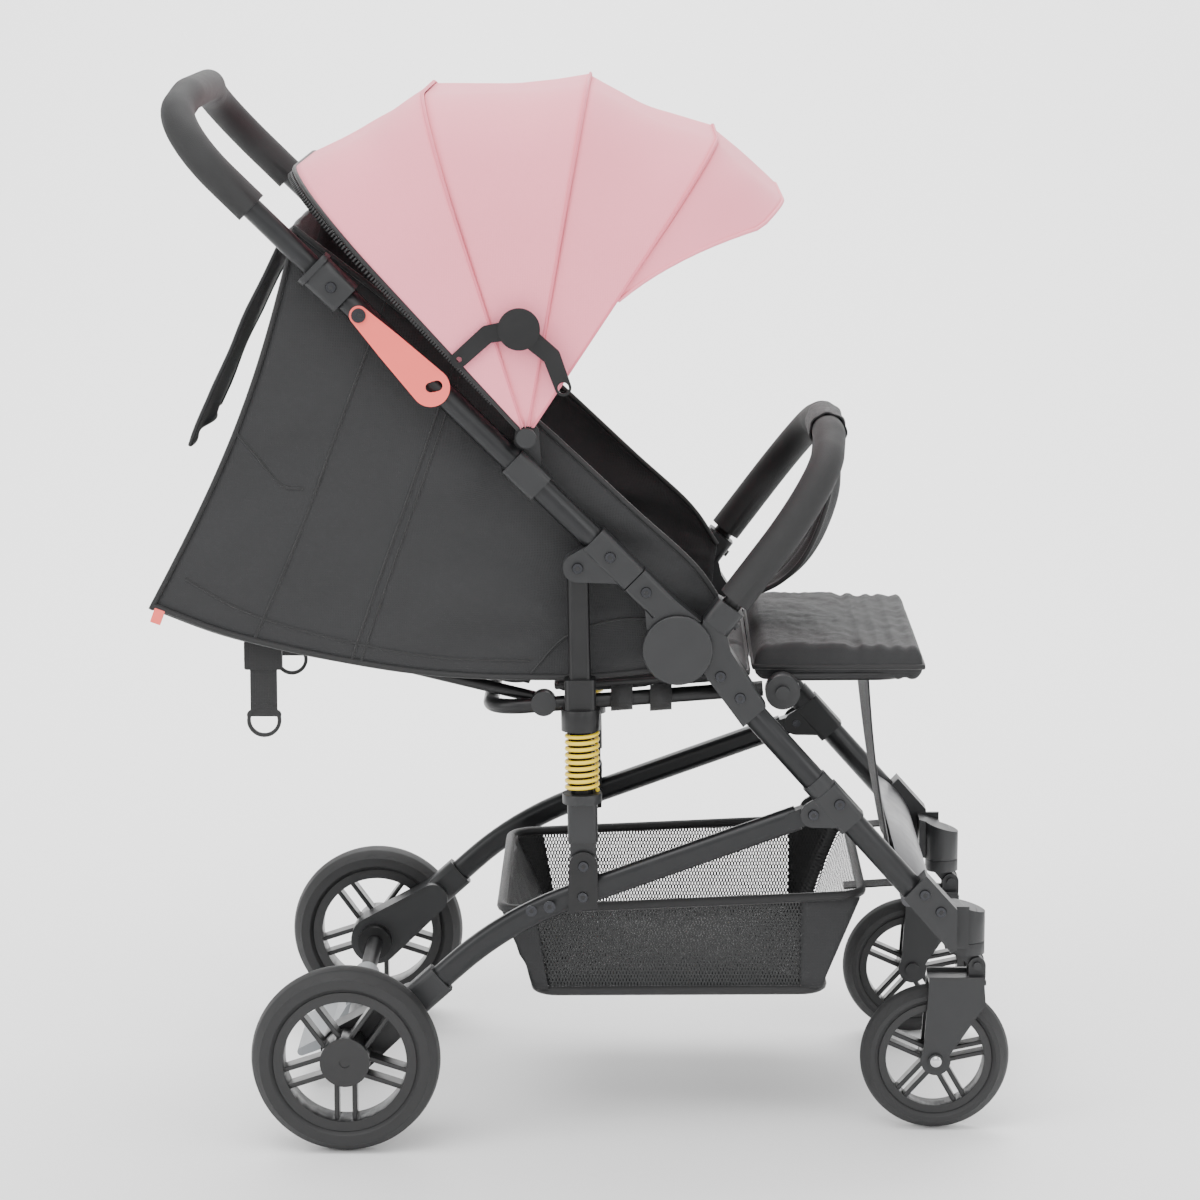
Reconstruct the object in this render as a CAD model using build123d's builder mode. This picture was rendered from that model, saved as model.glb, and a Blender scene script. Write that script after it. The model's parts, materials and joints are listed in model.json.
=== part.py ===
from build123d import *
import math
import os

os.makedirs("parts", exist_ok=True)

# Compact folding baby stroller, built as separate pieces in its standing, reclined position.
# Frame: +X to the front, +Y to the left, +Z up, floor at Z = 0, origin under the middle of the stroller.
# Points of the side view are (x, z) pairs in millimetres.

# ---------------------------------------------------------------- driving dimensions (mm)
TRACK_Y = 203.0            # side frames' centre plane, from the middle
CLEARANCE = 0.5            # gap between faces that pass each other
SEAT_GAP = 0.1             # gap between pieces seated in each other
PIN_GAP = 0.05             # radial running clearance of pivot pins

HUB = (85.0, 468.0)        # fold hinge
POST_TOP = (-6.0, 543.0)   # post's pivot on the upper frame
POST_FOOT = (-1.0, 265.0)  # post's foot on the rear leg
LEG_PIVOT = (210.0, 314.0) # rear leg's pivot on the front leg
LEVER_PIVOT = (-202.0, 773.0)
CANOPY_PIVOT = (-52.0, 663.0)
BACK_HINGE = (-38.0, 410.0)
FOOT_HINGE = (182.0, 422.0)

FRAME_TUBE_R = 11.5
FRAME_TUBE_WALL = 1.4
HANDLE_TUBE_R = 10.0
HANDLE_TUBE_WALL = 1.5
GRIP_R = 15.5
UPPER_TUBE_START = (47.0, 530.0)
UPPER_TUBE_ANGLE = 135.6   # degrees above +X
FRONT_LEG_START = (154.0, 407.0)
FRONT_LEG_ANGLE = -48.1
FRONT_LEG_LENGTH = 224.0

CASTING_THICKNESS = 26.0   # hub castings, across
HUB_R = 30.0
HUB_PIN_R = 6.0
COVER_R = 32.0
COVER_THICKNESS = 5.0
PIVOT_PIN_R = 4.0
CHEEK_THICKNESS = 4.0
BOLT_HEAD_R = 5.2
BOLT_HEAD_HEIGHT = 2.4

LEG_HEIGHT = 23.0          # rear leg's oval tube
LEG_WIDTH = 16.0
LEG_WALL = 1.6
LEG_BEND = (-71.0, 212.0)
LEG_END = (-152.0, 139.0)
LEG_BEND_R = 330.0

POST_TUBE = (20.0, 14.0)   # upper post section, along X and across
POST_SLEEVE = (27.6, 22.0) # lower post section
POST_SLEEVE_BORE = (20.6, 14.6)
SPRING_R = 14.2
SPRING_WIRE_R = 1.9
SPRING_TURNS = 9
SPRING_TOP = 152.0         # along the post from its top pivot
SPRING_BOTTOM = 211.0

REAR_AXLE = (-220.0, 87.5)
REAR_WHEEL_R = 87.5
REAR_WHEEL_WIDTH = 36.0
REAR_WHEEL_Y = 232.0
REAR_RIM_R = 66.0
REAR_RIM_OPENING_R = 57.0
REAR_HUB_R = 23.0
REAR_AXLE_R = 5.0
FRONT_AXLE = (328.0, 70.0)
FRONT_WHEEL_R = 70.0
FRONT_WHEEL_WIDTH = 28.0
FRONT_WHEEL_Y = 160.0
FRONT_RIM_R = 53.0
FRONT_RIM_OPENING_R = 46.0
FRONT_HUB_R = 14.0
FRONT_AXLE_R = 4.0
SPOKE_PAIRS = 5
CASTER_X = 357.0
CASTER_R = 16.5
CASTER_STEM_R = 6.0
FORK_PIVOT = (366.0, 160.0)
FORK_PLATE = 4.5

SEAT_TUBE_R = 7.0
SEAT_TUBE_Y = 171.0
BACK_TUBE_R = 5.5
BACK_TUBE_Y = 157.4
BACK_HEAD = (-402.0, 498.0)
BACK_PAD_LENGTH = 262.0
BACK_PAD_THICKNESS = 20.0
PAD_THICKNESS = 18.0

SOCKET_BASE = (119.0, 488.0)
BUMPER_ANGLE = 53.1
BUMPER_TUBE_R = 9.0
BUMPER_FOAM_R = 15.5

CANOPY_R = 318.0           # outer radius of the canopy's top about its pivots
CANOPY_HALF_WIDTH = 222.0
CANOPY_CORNER_R = 120.0
CANOPY_SHELL = 1.6
CANOPY_STEP = 2.6          # from one section's outer face to the next one's
REAR_EDGE_ANGLE = 132.5
BOW_1_ANGLE = 107.5
BOW_2_ANGLE = 79.8
BOW_3_ANGLE = 56.2
VISOR_ANGLE = 41.3

BASKET_TOP_REAR = (-82.0, 208.0)
BASKET_TOP_FRONT = (262.0, 226.0)
BASKET_BOTTOM_REAR = (-50.0, 129.0)
BASKET_BOTTOM_FRONT = (226.0, 131.0)
BASKET_HALF_WIDTH = 160.0
BASKET_WALL = 3.0

# ---------------------------------------------------------------- helpers


def along(start, angle, distance, offset=0.0):
    """Side-view point at a distance along a direction in degrees, and offset to its left."""
    a = math.radians(angle)
    return (start[0] + distance * math.cos(a) - offset * math.sin(a),
            start[1] + distance * math.sin(a) + offset * math.cos(a))


def at(point, y):
    """Space point of a side-view point at a width y."""
    return Vector(point[0], y, point[1])


def side(y):
    """Sketch plane of the side view; an extrude goes away from the middle, to the right."""
    return Plane(origin=(0, y, 0), x_dir=(1, 0, 0), z_dir=(0, -1, 0))


def direction(angle):
    """Unit vector of a side-view angle in degrees."""
    return Vector(math.cos(math.radians(angle)), 0, math.sin(math.radians(angle)))


def add_plate(points, y, thickness, corner=0.0, mode=Mode.ADD):
    """Plate with a polygon outline, from width y outwards."""
    with BuildSketch(side(y)) as outline:
        with BuildLine():
            Polyline(*points, close=True)
        make_face()
        if corner:
            fillet(outline.vertices(), corner)
    extrude(outline.sketch, amount=thickness, mode=mode)


def add_disc(point, radius, y, thickness, mode=Mode.ADD):
    """Disc about a cross axis, from width y outwards."""
    with BuildSketch(side(y)) as outline:
        with Locations(point):
            Circle(radius)
    extrude(outline.sketch, amount=thickness, mode=mode)


def add_rod(start, end, radius, bore=0.0, mode=Mode.ADD):
    """Round bar or tube between two space points."""
    axis = end - start
    with BuildSketch(Plane(origin=start, z_dir=axis)) as section:
        Circle(radius)
        if bore:
            Circle(bore, mode=Mode.SUBTRACT)
    extrude(section.sketch, amount=axis.length, mode=mode)


def add_bar(start, angle, first, last, width, across, y, corner=2.0, mode=Mode.ADD):
    """Rounded rectangular bar along a side-view direction; width lies in the side view."""
    base = at(along(start, angle, first), y)
    with BuildSketch(Plane(origin=base, x_dir=(0, 1, 0), z_dir=direction(angle))) as section:
        RectangleRounded(across, width, corner)
    extrude(section.sketch, amount=last - first, mode=mode)


def add_hull(discs, y, thickness, mode=Mode.ADD):
    """Plate that wraps a list of (point, radius) discs two by two."""
    for (first, first_r), (second, second_r) in zip(discs, discs[1:]):
        with BuildSketch(side(y)) as outline:
            with Locations(first):
                Circle(first_r)
            with Locations(second):
                Circle(second_r)
            make_hull()
        extrude(outline.sketch, amount=thickness, mode=mode)


def add_bolts(points, y):
    """Domed bolt heads standing on a face at width y."""
    for point in points:
        with BuildSketch(side(y)) as outline:
            with Locations(point):
                Circle(BOLT_HEAD_R)
        extrude(outline.sketch, amount=BOLT_HEAD_HEIGHT, taper=14)


def bores(points, radius):
    """Holes right through along Y at the side-view points."""
    for point in points:
        add_disc(point, radius, 400.0, 800.0, mode=Mode.SUBTRACT)


def finish(builder, name):
    """Label a finished piece and write it."""
    builder.part.label = name
    export_step(builder.part, f"parts/{name}.step")


RIGHT = -1.0
LEFT = 1.0
OUTER_Y = -(TRACK_Y + CASTING_THICKNESS / 2)     # outer face of the right castings
INNER_Y = -(TRACK_Y - CASTING_THICKNESS / 2)

# ---------------------------------------------------------------- upper frame
COLLAR_AT = along(UPPER_TUBE_START, UPPER_TUBE_ANGLE, 366.0)
GRIP_START = along(UPPER_TUBE_START, UPPER_TUBE_ANGLE, 483.0)
HANDLE_CORNER = along(UPPER_TUBE_START, UPPER_TUBE_ANGLE, 588.0)
HANDLE_CROSS = (-366.0, 963.0)
HANDLE_CORNER_R = 74.0
HANDLE_CROWN_R = 110.0
TUBE_INSIDE = 18.0         # upper tube's reach below its start, in the casting

with BuildPart() as upper_tubes:
    add_rod(at(along(UPPER_TUBE_START, UPPER_TUBE_ANGLE, -TUBE_INSIDE), -TRACK_Y),
            at(along(COLLAR_AT, UPPER_TUBE_ANGLE, 36.0), -TRACK_Y),
            FRAME_TUBE_R, FRAME_TUBE_R - FRAME_TUBE_WALL)
    mirror(about=Plane.XZ)
finish(upper_tubes, "upper_tubes")


def handle_path(start):
    """U-shaped run of the handle from a start point on the right side to the left side."""
    right = [at(start, -TRACK_Y), at(HANDLE_CORNER, -TRACK_Y), at(HANDLE_CROSS, -92)]
    left = [Vector(p.X, -p.Y, p.Z) for p in reversed(right)]
    return FilletPolyline(*right, *left,
                          radius=[HANDLE_CORNER_R, HANDLE_CROWN_R, HANDLE_CROWN_R, HANDLE_CORNER_R])


def add_swept_ring(path, outer, inner):
    """Tube of a ring section swept along a path."""
    with BuildSketch(Plane(origin=path @ 0, z_dir=path % 0)) as section:
        Circle(outer)
        if inner:
            Circle(inner, mode=Mode.SUBTRACT)
    sweep(section.sketch, path=path)


with BuildPart() as handle_tube:
    with BuildLine() as handle_line:
        handle_path(along(COLLAR_AT, UPPER_TUBE_ANGLE, -40.0))
    add_swept_ring(handle_line.line, HANDLE_TUBE_R, HANDLE_TUBE_R - HANDLE_TUBE_WALL)
finish(handle_tube, "handle_tube")

with BuildPart() as handle_grip:
    with BuildLine() as grip_line:
        handle_path(GRIP_START)
    add_swept_ring(grip_line.line, GRIP_R, HANDLE_TUBE_R + SEAT_GAP)
finish(handle_grip, "handle_grip")

POST_RADIUS = POST_TUBE[0] / 2
CHEEK_GAP = POST_TUBE[1] / 2 + CLEARANCE          # from the centre plane to a cheek
with BuildPart() as post_brackets:
    bracket_start = along(UPPER_TUBE_START, UPPER_TUBE_ANGLE, 3.0)
    add_bar(bracket_start, UPPER_TUBE_ANGLE, 0.0, 52.0, 2 * FRAME_TUBE_R + 4.0, CASTING_THICKNESS,
            -TRACK_Y, corner=4.0)
    for inner in (TRACK_Y - CHEEK_GAP - CHEEK_THICKNESS, TRACK_Y + CHEEK_GAP):
        add_hull([(POST_TOP, 13.5), (along(bracket_start, UPPER_TUBE_ANGLE, 13.0, 4.0), 10.0)],
                 -inner, CHEEK_THICKNESS)
        add_hull([(POST_TOP, 13.5), (along(bracket_start, UPPER_TUBE_ANGLE, 42.0, 4.0), 9.0)],
                 -inner, CHEEK_THICKNESS)
    add_disc(POST_TOP, POST_RADIUS + 3.0, -(TRACK_Y - CHEEK_GAP), 2 * CHEEK_GAP, mode=Mode.SUBTRACT)
    add_rod(at(along(bracket_start, UPPER_TUBE_ANGLE, -60.0), -TRACK_Y),
            at(along(bracket_start, UPPER_TUBE_ANGLE, 160.0), -TRACK_Y),
            FRAME_TUBE_R + SEAT_GAP, mode=Mode.SUBTRACT)
    bores([POST_TOP], PIVOT_PIN_R + SEAT_GAP)
    mirror(about=Plane.XZ)
finish(post_brackets, "post_brackets")

LAYER_OUT = -(TRACK_Y + CLEARANCE / 2)            # inner face of the lower casting's hub disc
with BuildPart() as hub_upper_castings:
    add_disc(HUB, HUB_R, INNER_Y, TRACK_Y - CLEARANCE / 2 + INNER_Y)
    add_bar(UPPER_TUBE_START, UPPER_TUBE_ANGLE, -56.0, 2.0, 2 * FRAME_TUBE_R + 4.0, CASTING_THICKNESS,
            -TRACK_Y, corner=4.0)
    add_plate([along(HUB, 51.0, 33.5), along(UPPER_TUBE_START, UPPER_TUBE_ANGLE, -34.0, -13.0),
               along(UPPER_TUBE_START, UPPER_TUBE_ANGLE, -34.0, 13.0), (55.0, 505.0), (57.0, 486.0)],
              INNER_Y, CASTING_THICKNESS)
    add_disc(HUB, HUB_R + CLEARANCE, LAYER_OUT + CLEARANCE, 40.0, mode=Mode.SUBTRACT)
    add_disc(HUB, COVER_R + CLEARANCE, OUTER_Y + CLEARANCE, 40.0, mode=Mode.SUBTRACT)
    add_rod(at(along(UPPER_TUBE_START, UPPER_TUBE_ANGLE, -TUBE_INSIDE - SEAT_GAP), -TRACK_Y),
            at(along(UPPER_TUBE_START, UPPER_TUBE_ANGLE, 30.0), -TRACK_Y),
            FRAME_TUBE_R + SEAT_GAP, mode=Mode.SUBTRACT)
    bores([HUB], HUB_PIN_R + PIN_GAP)
    mirror(about=Plane.XZ)
finish(hub_upper_castings, "hub_upper_castings")

COLLAR_BORE = FRAME_TUBE_R + SEAT_GAP
CLAMP_START = along(UPPER_TUBE_START, UPPER_TUBE_ANGLE, 121.0)
CLAMP_LENGTH = 36.0
CLAMP_INNER = TRACK_Y - FRAME_TUBE_R - 3.0
with BuildPart() as upper_tube_fittings:
    add_bar(COLLAR_AT, UPPER_TUBE_ANGLE, 0.0, 36.0, 31.0, 29.0, -TRACK_Y, corner=6.0)
    add_bar(COLLAR_AT, UPPER_TUBE_ANGLE, 36.0 + SEAT_GAP, 42.0, 35.0, 33.0, -TRACK_Y, corner=7.0)
    add_bar(CLAMP_START, UPPER_TUBE_ANGLE, 0.0, CLAMP_LENGTH, 28.0, 29.0, -TRACK_Y, corner=5.0)
    add_hull([(CANOPY_PIVOT, 11.0), (along(CLAMP_START, UPPER_TUBE_ANGLE, CLAMP_LENGTH / 2), 14.0)],
             -CLAMP_INNER, 9.0)
    add_rod(at(along(CLAMP_START, UPPER_TUBE_ANGLE, -20.0), -TRACK_Y),
            at(along(COLLAR_AT, UPPER_TUBE_ANGLE, 36.0 + SEAT_GAP / 2), -TRACK_Y),
            COLLAR_BORE, mode=Mode.SUBTRACT)
    add_rod(at(along(COLLAR_AT, UPPER_TUBE_ANGLE, 36.0), -TRACK_Y),
            at(along(COLLAR_AT, UPPER_TUBE_ANGLE, 60.0), -TRACK_Y),
            HANDLE_TUBE_R + SEAT_GAP, mode=Mode.SUBTRACT)
    add_disc(CANOPY_PIVOT, PIVOT_PIN_R, -(CLAMP_INNER + 9.0), CANOPY_HALF_WIDTH + 1.0 - CLAMP_INNER - 9.0)
    add_disc(CANOPY_PIVOT, 9.0, -(CANOPY_HALF_WIDTH + 1.0), 3.0)
    mirror(about=Plane.XZ)
finish(upper_tube_fittings, "upper_tube_fittings")

LEVER_INNER = TRACK_Y + FRAME_TUBE_R + 1.5        # inner face of the lock lever
LEVER_THICKNESS = 3.0
LEVER_LENGTH = 91.2
STUD_NECK_R = 3.4
with BuildPart() as upper_frame_bolts:
    add_bolts([POST_TOP, along(UPPER_TUBE_START, UPPER_TUBE_ANGLE, 33.0),
               along(UPPER_TUBE_START, UPPER_TUBE_ANGLE, -13.0)], OUTER_Y)
    add_disc(POST_TOP, PIVOT_PIN_R, INNER_Y, CASTING_THICKNESS)
    add_bolts([along(COLLAR_AT, UPPER_TUBE_ANGLE, 17.0)], -(TRACK_Y + 14.5))
    mirror(about=Plane.XZ)
    add_disc(LEVER_PIVOT, PIVOT_PIN_R, -(TRACK_Y + FRAME_TUBE_R + 0.05), LEVER_THICKNESS + 1.7)
    add_disc(LEVER_PIVOT, 6.5, -(LEVER_INNER + LEVER_THICKNESS + 0.2), 2.0)
finish(upper_frame_bolts, "upper_frame_bolts")

KEYHOLE = along(LEVER_PIVOT, -45.4, LEVER_LENGTH)
with BuildPart() as fold_lock_lever:
    add_hull([(LEVER_PIVOT, 8.5), (along(LEVER_PIVOT, -45.4, 40.0), 13.0), (KEYHOLE, 17.5)],
             -LEVER_INNER, LEVER_THICKNESS)
    bores([LEVER_PIVOT], PIVOT_PIN_R + PIN_GAP)
    bores([KEYHOLE], STUD_NECK_R + 1.2)
    bores([along(KEYHOLE, -45.4 + 60.0, 6.0), along(KEYHOLE, -45.4 + 60.0, 3.0)], 5.0)
finish(fold_lock_lever, "fold_lock_lever")

# ---------------------------------------------------------------- front frame
FRONT_LEG_END = along(FRONT_LEG_START, FRONT_LEG_ANGLE, FRONT_LEG_LENGTH)
FRONT_LEG_INSIDE = 24.0
with BuildPart() as front_legs:
    add_rod(at(along(FRONT_LEG_START, FRONT_LEG_ANGLE, -FRONT_LEG_INSIDE), -TRACK_Y),
            at(FRONT_LEG_END, -TRACK_Y), FRAME_TUBE_R, FRAME_TUBE_R - FRAME_TUBE_WALL)
    mirror(about=Plane.XZ)
finish(front_legs, "front_legs")

with BuildPart() as hub_lower_castings:
    add_disc(HUB, HUB_R, LAYER_OUT, -OUTER_Y + LAYER_OUT)
    add_plate([along(SOCKET_BASE, BUMPER_ANGLE, 0.0, 13.5), along(SOCKET_BASE, BUMPER_ANGLE, 0.0, -14.0),
               (133.0, 467.0), along(FRONT_LEG_START, FRONT_LEG_ANGLE, 2.0, 14.0),
               along(FRONT_LEG_START, FRONT_LEG_ANGLE, 2.0, -14.0), (112.0, 441.0), (101.0, 460.0)],
              INNER_Y, CASTING_THICKNESS)
    add_disc(HUB, HUB_R + CLEARANCE, INNER_Y + 1.0, 1.0 + INNER_Y - LAYER_OUT, mode=Mode.SUBTRACT)
    add_rod(at(along(FRONT_LEG_START, FRONT_LEG_ANGLE, -FRONT_LEG_INSIDE - SEAT_GAP), -TRACK_Y),
            at(along(FRONT_LEG_START, FRONT_LEG_ANGLE, 40.0), -TRACK_Y),
            FRAME_TUBE_R + SEAT_GAP, mode=Mode.SUBTRACT)
    bores([HUB], HUB_PIN_R + SEAT_GAP)
    mirror(about=Plane.XZ)
finish(hub_lower_castings, "hub_lower_castings")

with BuildPart() as hub_covers:
    add_disc(HUB, COVER_R, OUTER_Y, COVER_THICKNESS)
    fillet(hub_covers.faces().sort_by(Axis.Y)[0].edges(), 1.5)
    mirror(about=Plane.XZ)
finish(hub_covers, "hub_covers")

LUG_AT = 98.0              # distances along the front leg
LUG_LENGTH = 40.0
LEG_TONGUE_R = 8.4
LUG_CHEEK_GAP = LEG_WIDTH / 2 + CLEARANCE
BRACKET = [(314.0, 257.0), (293.6, 235.1), (338.0, 184.0), (343.0, 186.0), (343.0, 224.7)]
STEM_TOP = 206.0
HOUSING_BOTTOM = 182.0
with BuildPart() as front_leg_fittings:
    add_bar(FRONT_LEG_START, FRONT_LEG_ANGLE, LUG_AT - 14.0, LUG_AT, 25.0, 25.0, -TRACK_Y, corner=9.0)
    add_bar(FRONT_LEG_START, FRONT_LEG_ANGLE, LUG_AT, LUG_AT + LUG_LENGTH, 2 * FRAME_TUBE_R + 4.0,
            CASTING_THICKNESS, -TRACK_Y, corner=4.0)
    for inner in (TRACK_Y - LUG_CHEEK_GAP - CHEEK_THICKNESS, TRACK_Y + LUG_CHEEK_GAP):
        for end in (along(FRONT_LEG_START, FRONT_LEG_ANGLE, LUG_AT + 10.0),
                    along(FRONT_LEG_START, FRONT_LEG_ANGLE, LUG_AT + 30.0)):
            add_hull([(LEG_PIVOT, 12.0), (end, 10.0)], -inner, CHEEK_THICKNESS)
    add_disc(LEG_PIVOT, LEG_TONGUE_R + 1.6, -(TRACK_Y - LUG_CHEEK_GAP), 2 * LUG_CHEEK_GAP,
             mode=Mode.SUBTRACT)
    bores([LEG_PIVOT], PIVOT_PIN_R + SEAT_GAP)
    add_plate(BRACKET, INNER_Y, CASTING_THICKNESS)
    with BuildSketch(Plane.XY.offset(HOUSING_BOTTOM)):
        with Locations((CASTER_X, -FRONT_WHEEL_Y)):
            Circle(CASTER_R)
        with Locations((CASTER_X - 12.0, (INNER_Y - FRONT_WHEEL_Y) / 2)):
            Rectangle(22.0, -INNER_Y - FRONT_WHEEL_Y + 6.0)
    extrude(amount=40.0)
    add_plate([(320.0, 226.0), (320.0, 260.0), (390.0, 260.0), (390.0, 205.0)], -120.0, 69.0,
              mode=Mode.SUBTRACT)
    add_rod(at(along(FRONT_LEG_START, FRONT_LEG_ANGLE, LUG_AT - 30.0), -TRACK_Y),
            at(along(FRONT_LEG_START, FRONT_LEG_ANGLE, FRONT_LEG_LENGTH + SEAT_GAP), -TRACK_Y),
            FRAME_TUBE_R + SEAT_GAP, mode=Mode.SUBTRACT)
    add_rod(Vector(CASTER_X, -FRONT_WHEEL_Y, HOUSING_BOTTOM - 1), Vector(CASTER_X, -FRONT_WHEEL_Y, STEM_TOP),
            CASTER_STEM_R + PIN_GAP, mode=Mode.SUBTRACT)
    mirror(about=Plane.XZ)
finish(front_leg_fittings, "front_leg_fittings")

PANEL_TOP = (290.0, 262.0)
PANEL_MIDDLE = (318.0, 238.0)
PANEL_BOTTOM = (330.0, 206.0)
PANEL_THICKNESS = 3.0
STRUT = (300.0, 228.0)
STRUT_R = 7.0
with BuildPart() as front_cross_members:
    with BuildSketch(side(-INNER_Y)):
        with BuildLine():
            ThreePointArc(PANEL_TOP, PANEL_MIDDLE, PANEL_BOTTOM)
            Line(PANEL_BOTTOM, (PANEL_BOTTOM[0] - PANEL_THICKNESS, PANEL_BOTTOM[1]))
            ThreePointArc((PANEL_BOTTOM[0] - PANEL_THICKNESS, PANEL_BOTTOM[1]),
                          (PANEL_MIDDLE[0] - 2.3, PANEL_MIDDLE[1] - 1.9),
                          (PANEL_TOP[0] - 1.0, PANEL_TOP[1] - PANEL_THICKNESS))
            Line((PANEL_TOP[0] - 1.0, PANEL_TOP[1] - PANEL_THICKNESS), PANEL_TOP)
        make_face()
    extrude(amount=-2 * INNER_Y)
    add_disc(STRUT, STRUT_R, -INNER_Y, -2 * INNER_Y)
finish(front_cross_members, "front_cross_members")

SEAT_TUBE_FRONT = (164.0, 423.5)
SEAT_TUBE_BACK = (-88.0, 404.0)


def seat_axis(x):
    """Height of the seat tube's axis at x."""
    slope = (SEAT_TUBE_FRONT[1] - SEAT_TUBE_BACK[1]) / (SEAT_TUBE_FRONT[0] - SEAT_TUBE_BACK[0])
    return SEAT_TUBE_BACK[1] + slope * (x - SEAT_TUBE_BACK[0])


with BuildPart() as seat_tube:
    with BuildLine() as seat_line:
        FilletPolyline(at(SEAT_TUBE_FRONT, -SEAT_TUBE_Y), at(SEAT_TUBE_BACK, -SEAT_TUBE_Y),
                       at(SEAT_TUBE_BACK, SEAT_TUBE_Y), at(SEAT_TUBE_FRONT, SEAT_TUBE_Y), radius=32.0)
    add_swept_ring(seat_line.line, SEAT_TUBE_R, 0.0)
finish(seat_tube, "seat_tube")

KNOB_R = 16.0
KNOB_INNER = SEAT_TUBE_Y - SEAT_TUBE_R            # inner face of the hinges
HINGE_PIN_R = 3.5
MOUNT_X = 132.0
with BuildPart() as seat_hinges:
    add_disc(FOOT_HINGE, KNOB_R, -KNOB_INNER, 20.0)
    add_disc(FOOT_HINGE, 6.5, -(KNOB_INNER + 20.0), 4.0)
    add_disc(FOOT_HINGE, HINGE_PIN_R, -(KNOB_INNER - 12.0), 12.0)
    add_disc((MOUNT_X, seat_axis(MOUNT_X)), SEAT_TUBE_R, -SEAT_TUBE_Y, -INNER_Y - SEAT_TUBE_Y)
    add_disc(BACK_HINGE, 11.5, -KNOB_INNER, 2 * SEAT_TUBE_R + 2.0)
    add_disc(BACK_HINGE, HINGE_PIN_R, -(KNOB_INNER - 12.0), 12.0)
    add_rod(at(SEAT_TUBE_BACK, -SEAT_TUBE_Y), at(SEAT_TUBE_FRONT, -SEAT_TUBE_Y),
            SEAT_TUBE_R + SEAT_GAP, mode=Mode.SUBTRACT)
    mirror(about=Plane.XZ)
finish(seat_hinges, "seat_hinges")

SOCKET_HALF = 14.0
SOCKET_DEPTH = 24.0
BUTTON_AT = 11.0
BUTTON_R = 3.4
BUTTON_OUT = 17.0
BUTTON_IN = 11.8
with BuildPart() as bumper_sockets:
    add_bar(SOCKET_BASE, BUMPER_ANGLE, 0.0, SOCKET_DEPTH, 2 * SOCKET_HALF, 2 * SOCKET_HALF, -TRACK_Y,
            corner=6.0)
    add_rod(at(along(SOCKET_BASE, BUMPER_ANGLE, 4.0), -TRACK_Y),
            at(along(SOCKET_BASE, BUMPER_ANGLE, SOCKET_DEPTH + 1.0), -TRACK_Y),
            BUMPER_TUBE_R + 2 * SEAT_GAP, mode=Mode.SUBTRACT)
    add_rod(at(along(SOCKET_BASE, BUMPER_ANGLE, BUTTON_AT), -TRACK_Y),
            at(along(SOCKET_BASE, BUMPER_ANGLE, BUTTON_AT, -30.0), -TRACK_Y),
            BUTTON_R + PIN_GAP, mode=Mode.SUBTRACT)
    mirror(about=Plane.XZ)
finish(bumper_sockets, "bumper_sockets")

for name, hand in (("bumper_button_right", RIGHT), ("bumper_button_left", LEFT)):
    with BuildPart() as bumper_button:
        add_rod(at(along(SOCKET_BASE, BUMPER_ANGLE, BUTTON_AT, -BUTTON_IN), hand * TRACK_Y),
                at(along(SOCKET_BASE, BUMPER_ANGLE, BUTTON_AT, -BUTTON_OUT), hand * TRACK_Y), BUTTON_R)
    finish(bumper_button, name)

with BuildPart() as front_frame_bolts:
    add_disc(HUB, HUB_PIN_R, INNER_Y, CASTING_THICKNESS)
    add_bolts([along(FRONT_LEG_START, FRONT_LEG_ANGLE, -47.0, 2.0),
               along(FRONT_LEG_START, FRONT_LEG_ANGLE, -20.0, 2.0),
               along(FRONT_LEG_START, FRONT_LEG_ANGLE, LUG_AT + 17.0, 4.0),
               LEG_PIVOT, (313.0, 239.0), (328.0, 223.0)], OUTER_Y)
    add_disc(LEG_PIVOT, PIVOT_PIN_R, INNER_Y, CASTING_THICKNESS)
    mirror(about=Plane.XZ)
finish(front_frame_bolts, "front_frame_bolts")

# ---------------------------------------------------------------- rear legs
REAR_LEG_STRAIGHT = math.degrees(math.atan2(LEG_BEND[1] - LEG_PIVOT[1], LEG_BEND[0] - LEG_PIVOT[0]))
LEG_TUBE_START = along(LEG_PIVOT, REAR_LEG_STRAIGHT, 15.0)
with BuildPart() as rear_legs:
    with BuildLine() as leg_line:
        FilletPolyline(at(LEG_TUBE_START, -TRACK_Y), at(LEG_BEND, -TRACK_Y), at(LEG_END, -TRACK_Y),
                       radius=LEG_BEND_R)
    with BuildSketch(Plane(origin=leg_line.line @ 0, x_dir=(0, 1, 0), z_dir=leg_line.line % 0)):
        RectangleRounded(LEG_WIDTH, LEG_HEIGHT, LEG_WIDTH / 2 - 0.6)
        RectangleRounded(LEG_WIDTH - 2 * LEG_WALL, LEG_HEIGHT - 2 * LEG_WALL,
                         LEG_WIDTH / 2 - 0.6 - LEG_WALL, mode=Mode.SUBTRACT)
    sweep(path=leg_line.line)
    add_hull([(LEG_PIVOT, LEG_TONGUE_R), (along(LEG_TUBE_START, REAR_LEG_STRAIGHT, 4.0), LEG_TONGUE_R)],
             -(TRACK_Y - LEG_WIDTH / 2), LEG_WIDTH)
    bores([LEG_PIVOT], PIVOT_PIN_R + PIN_GAP)
    mirror(about=Plane.XZ)
finish(rear_legs, "rear_legs")

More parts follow.
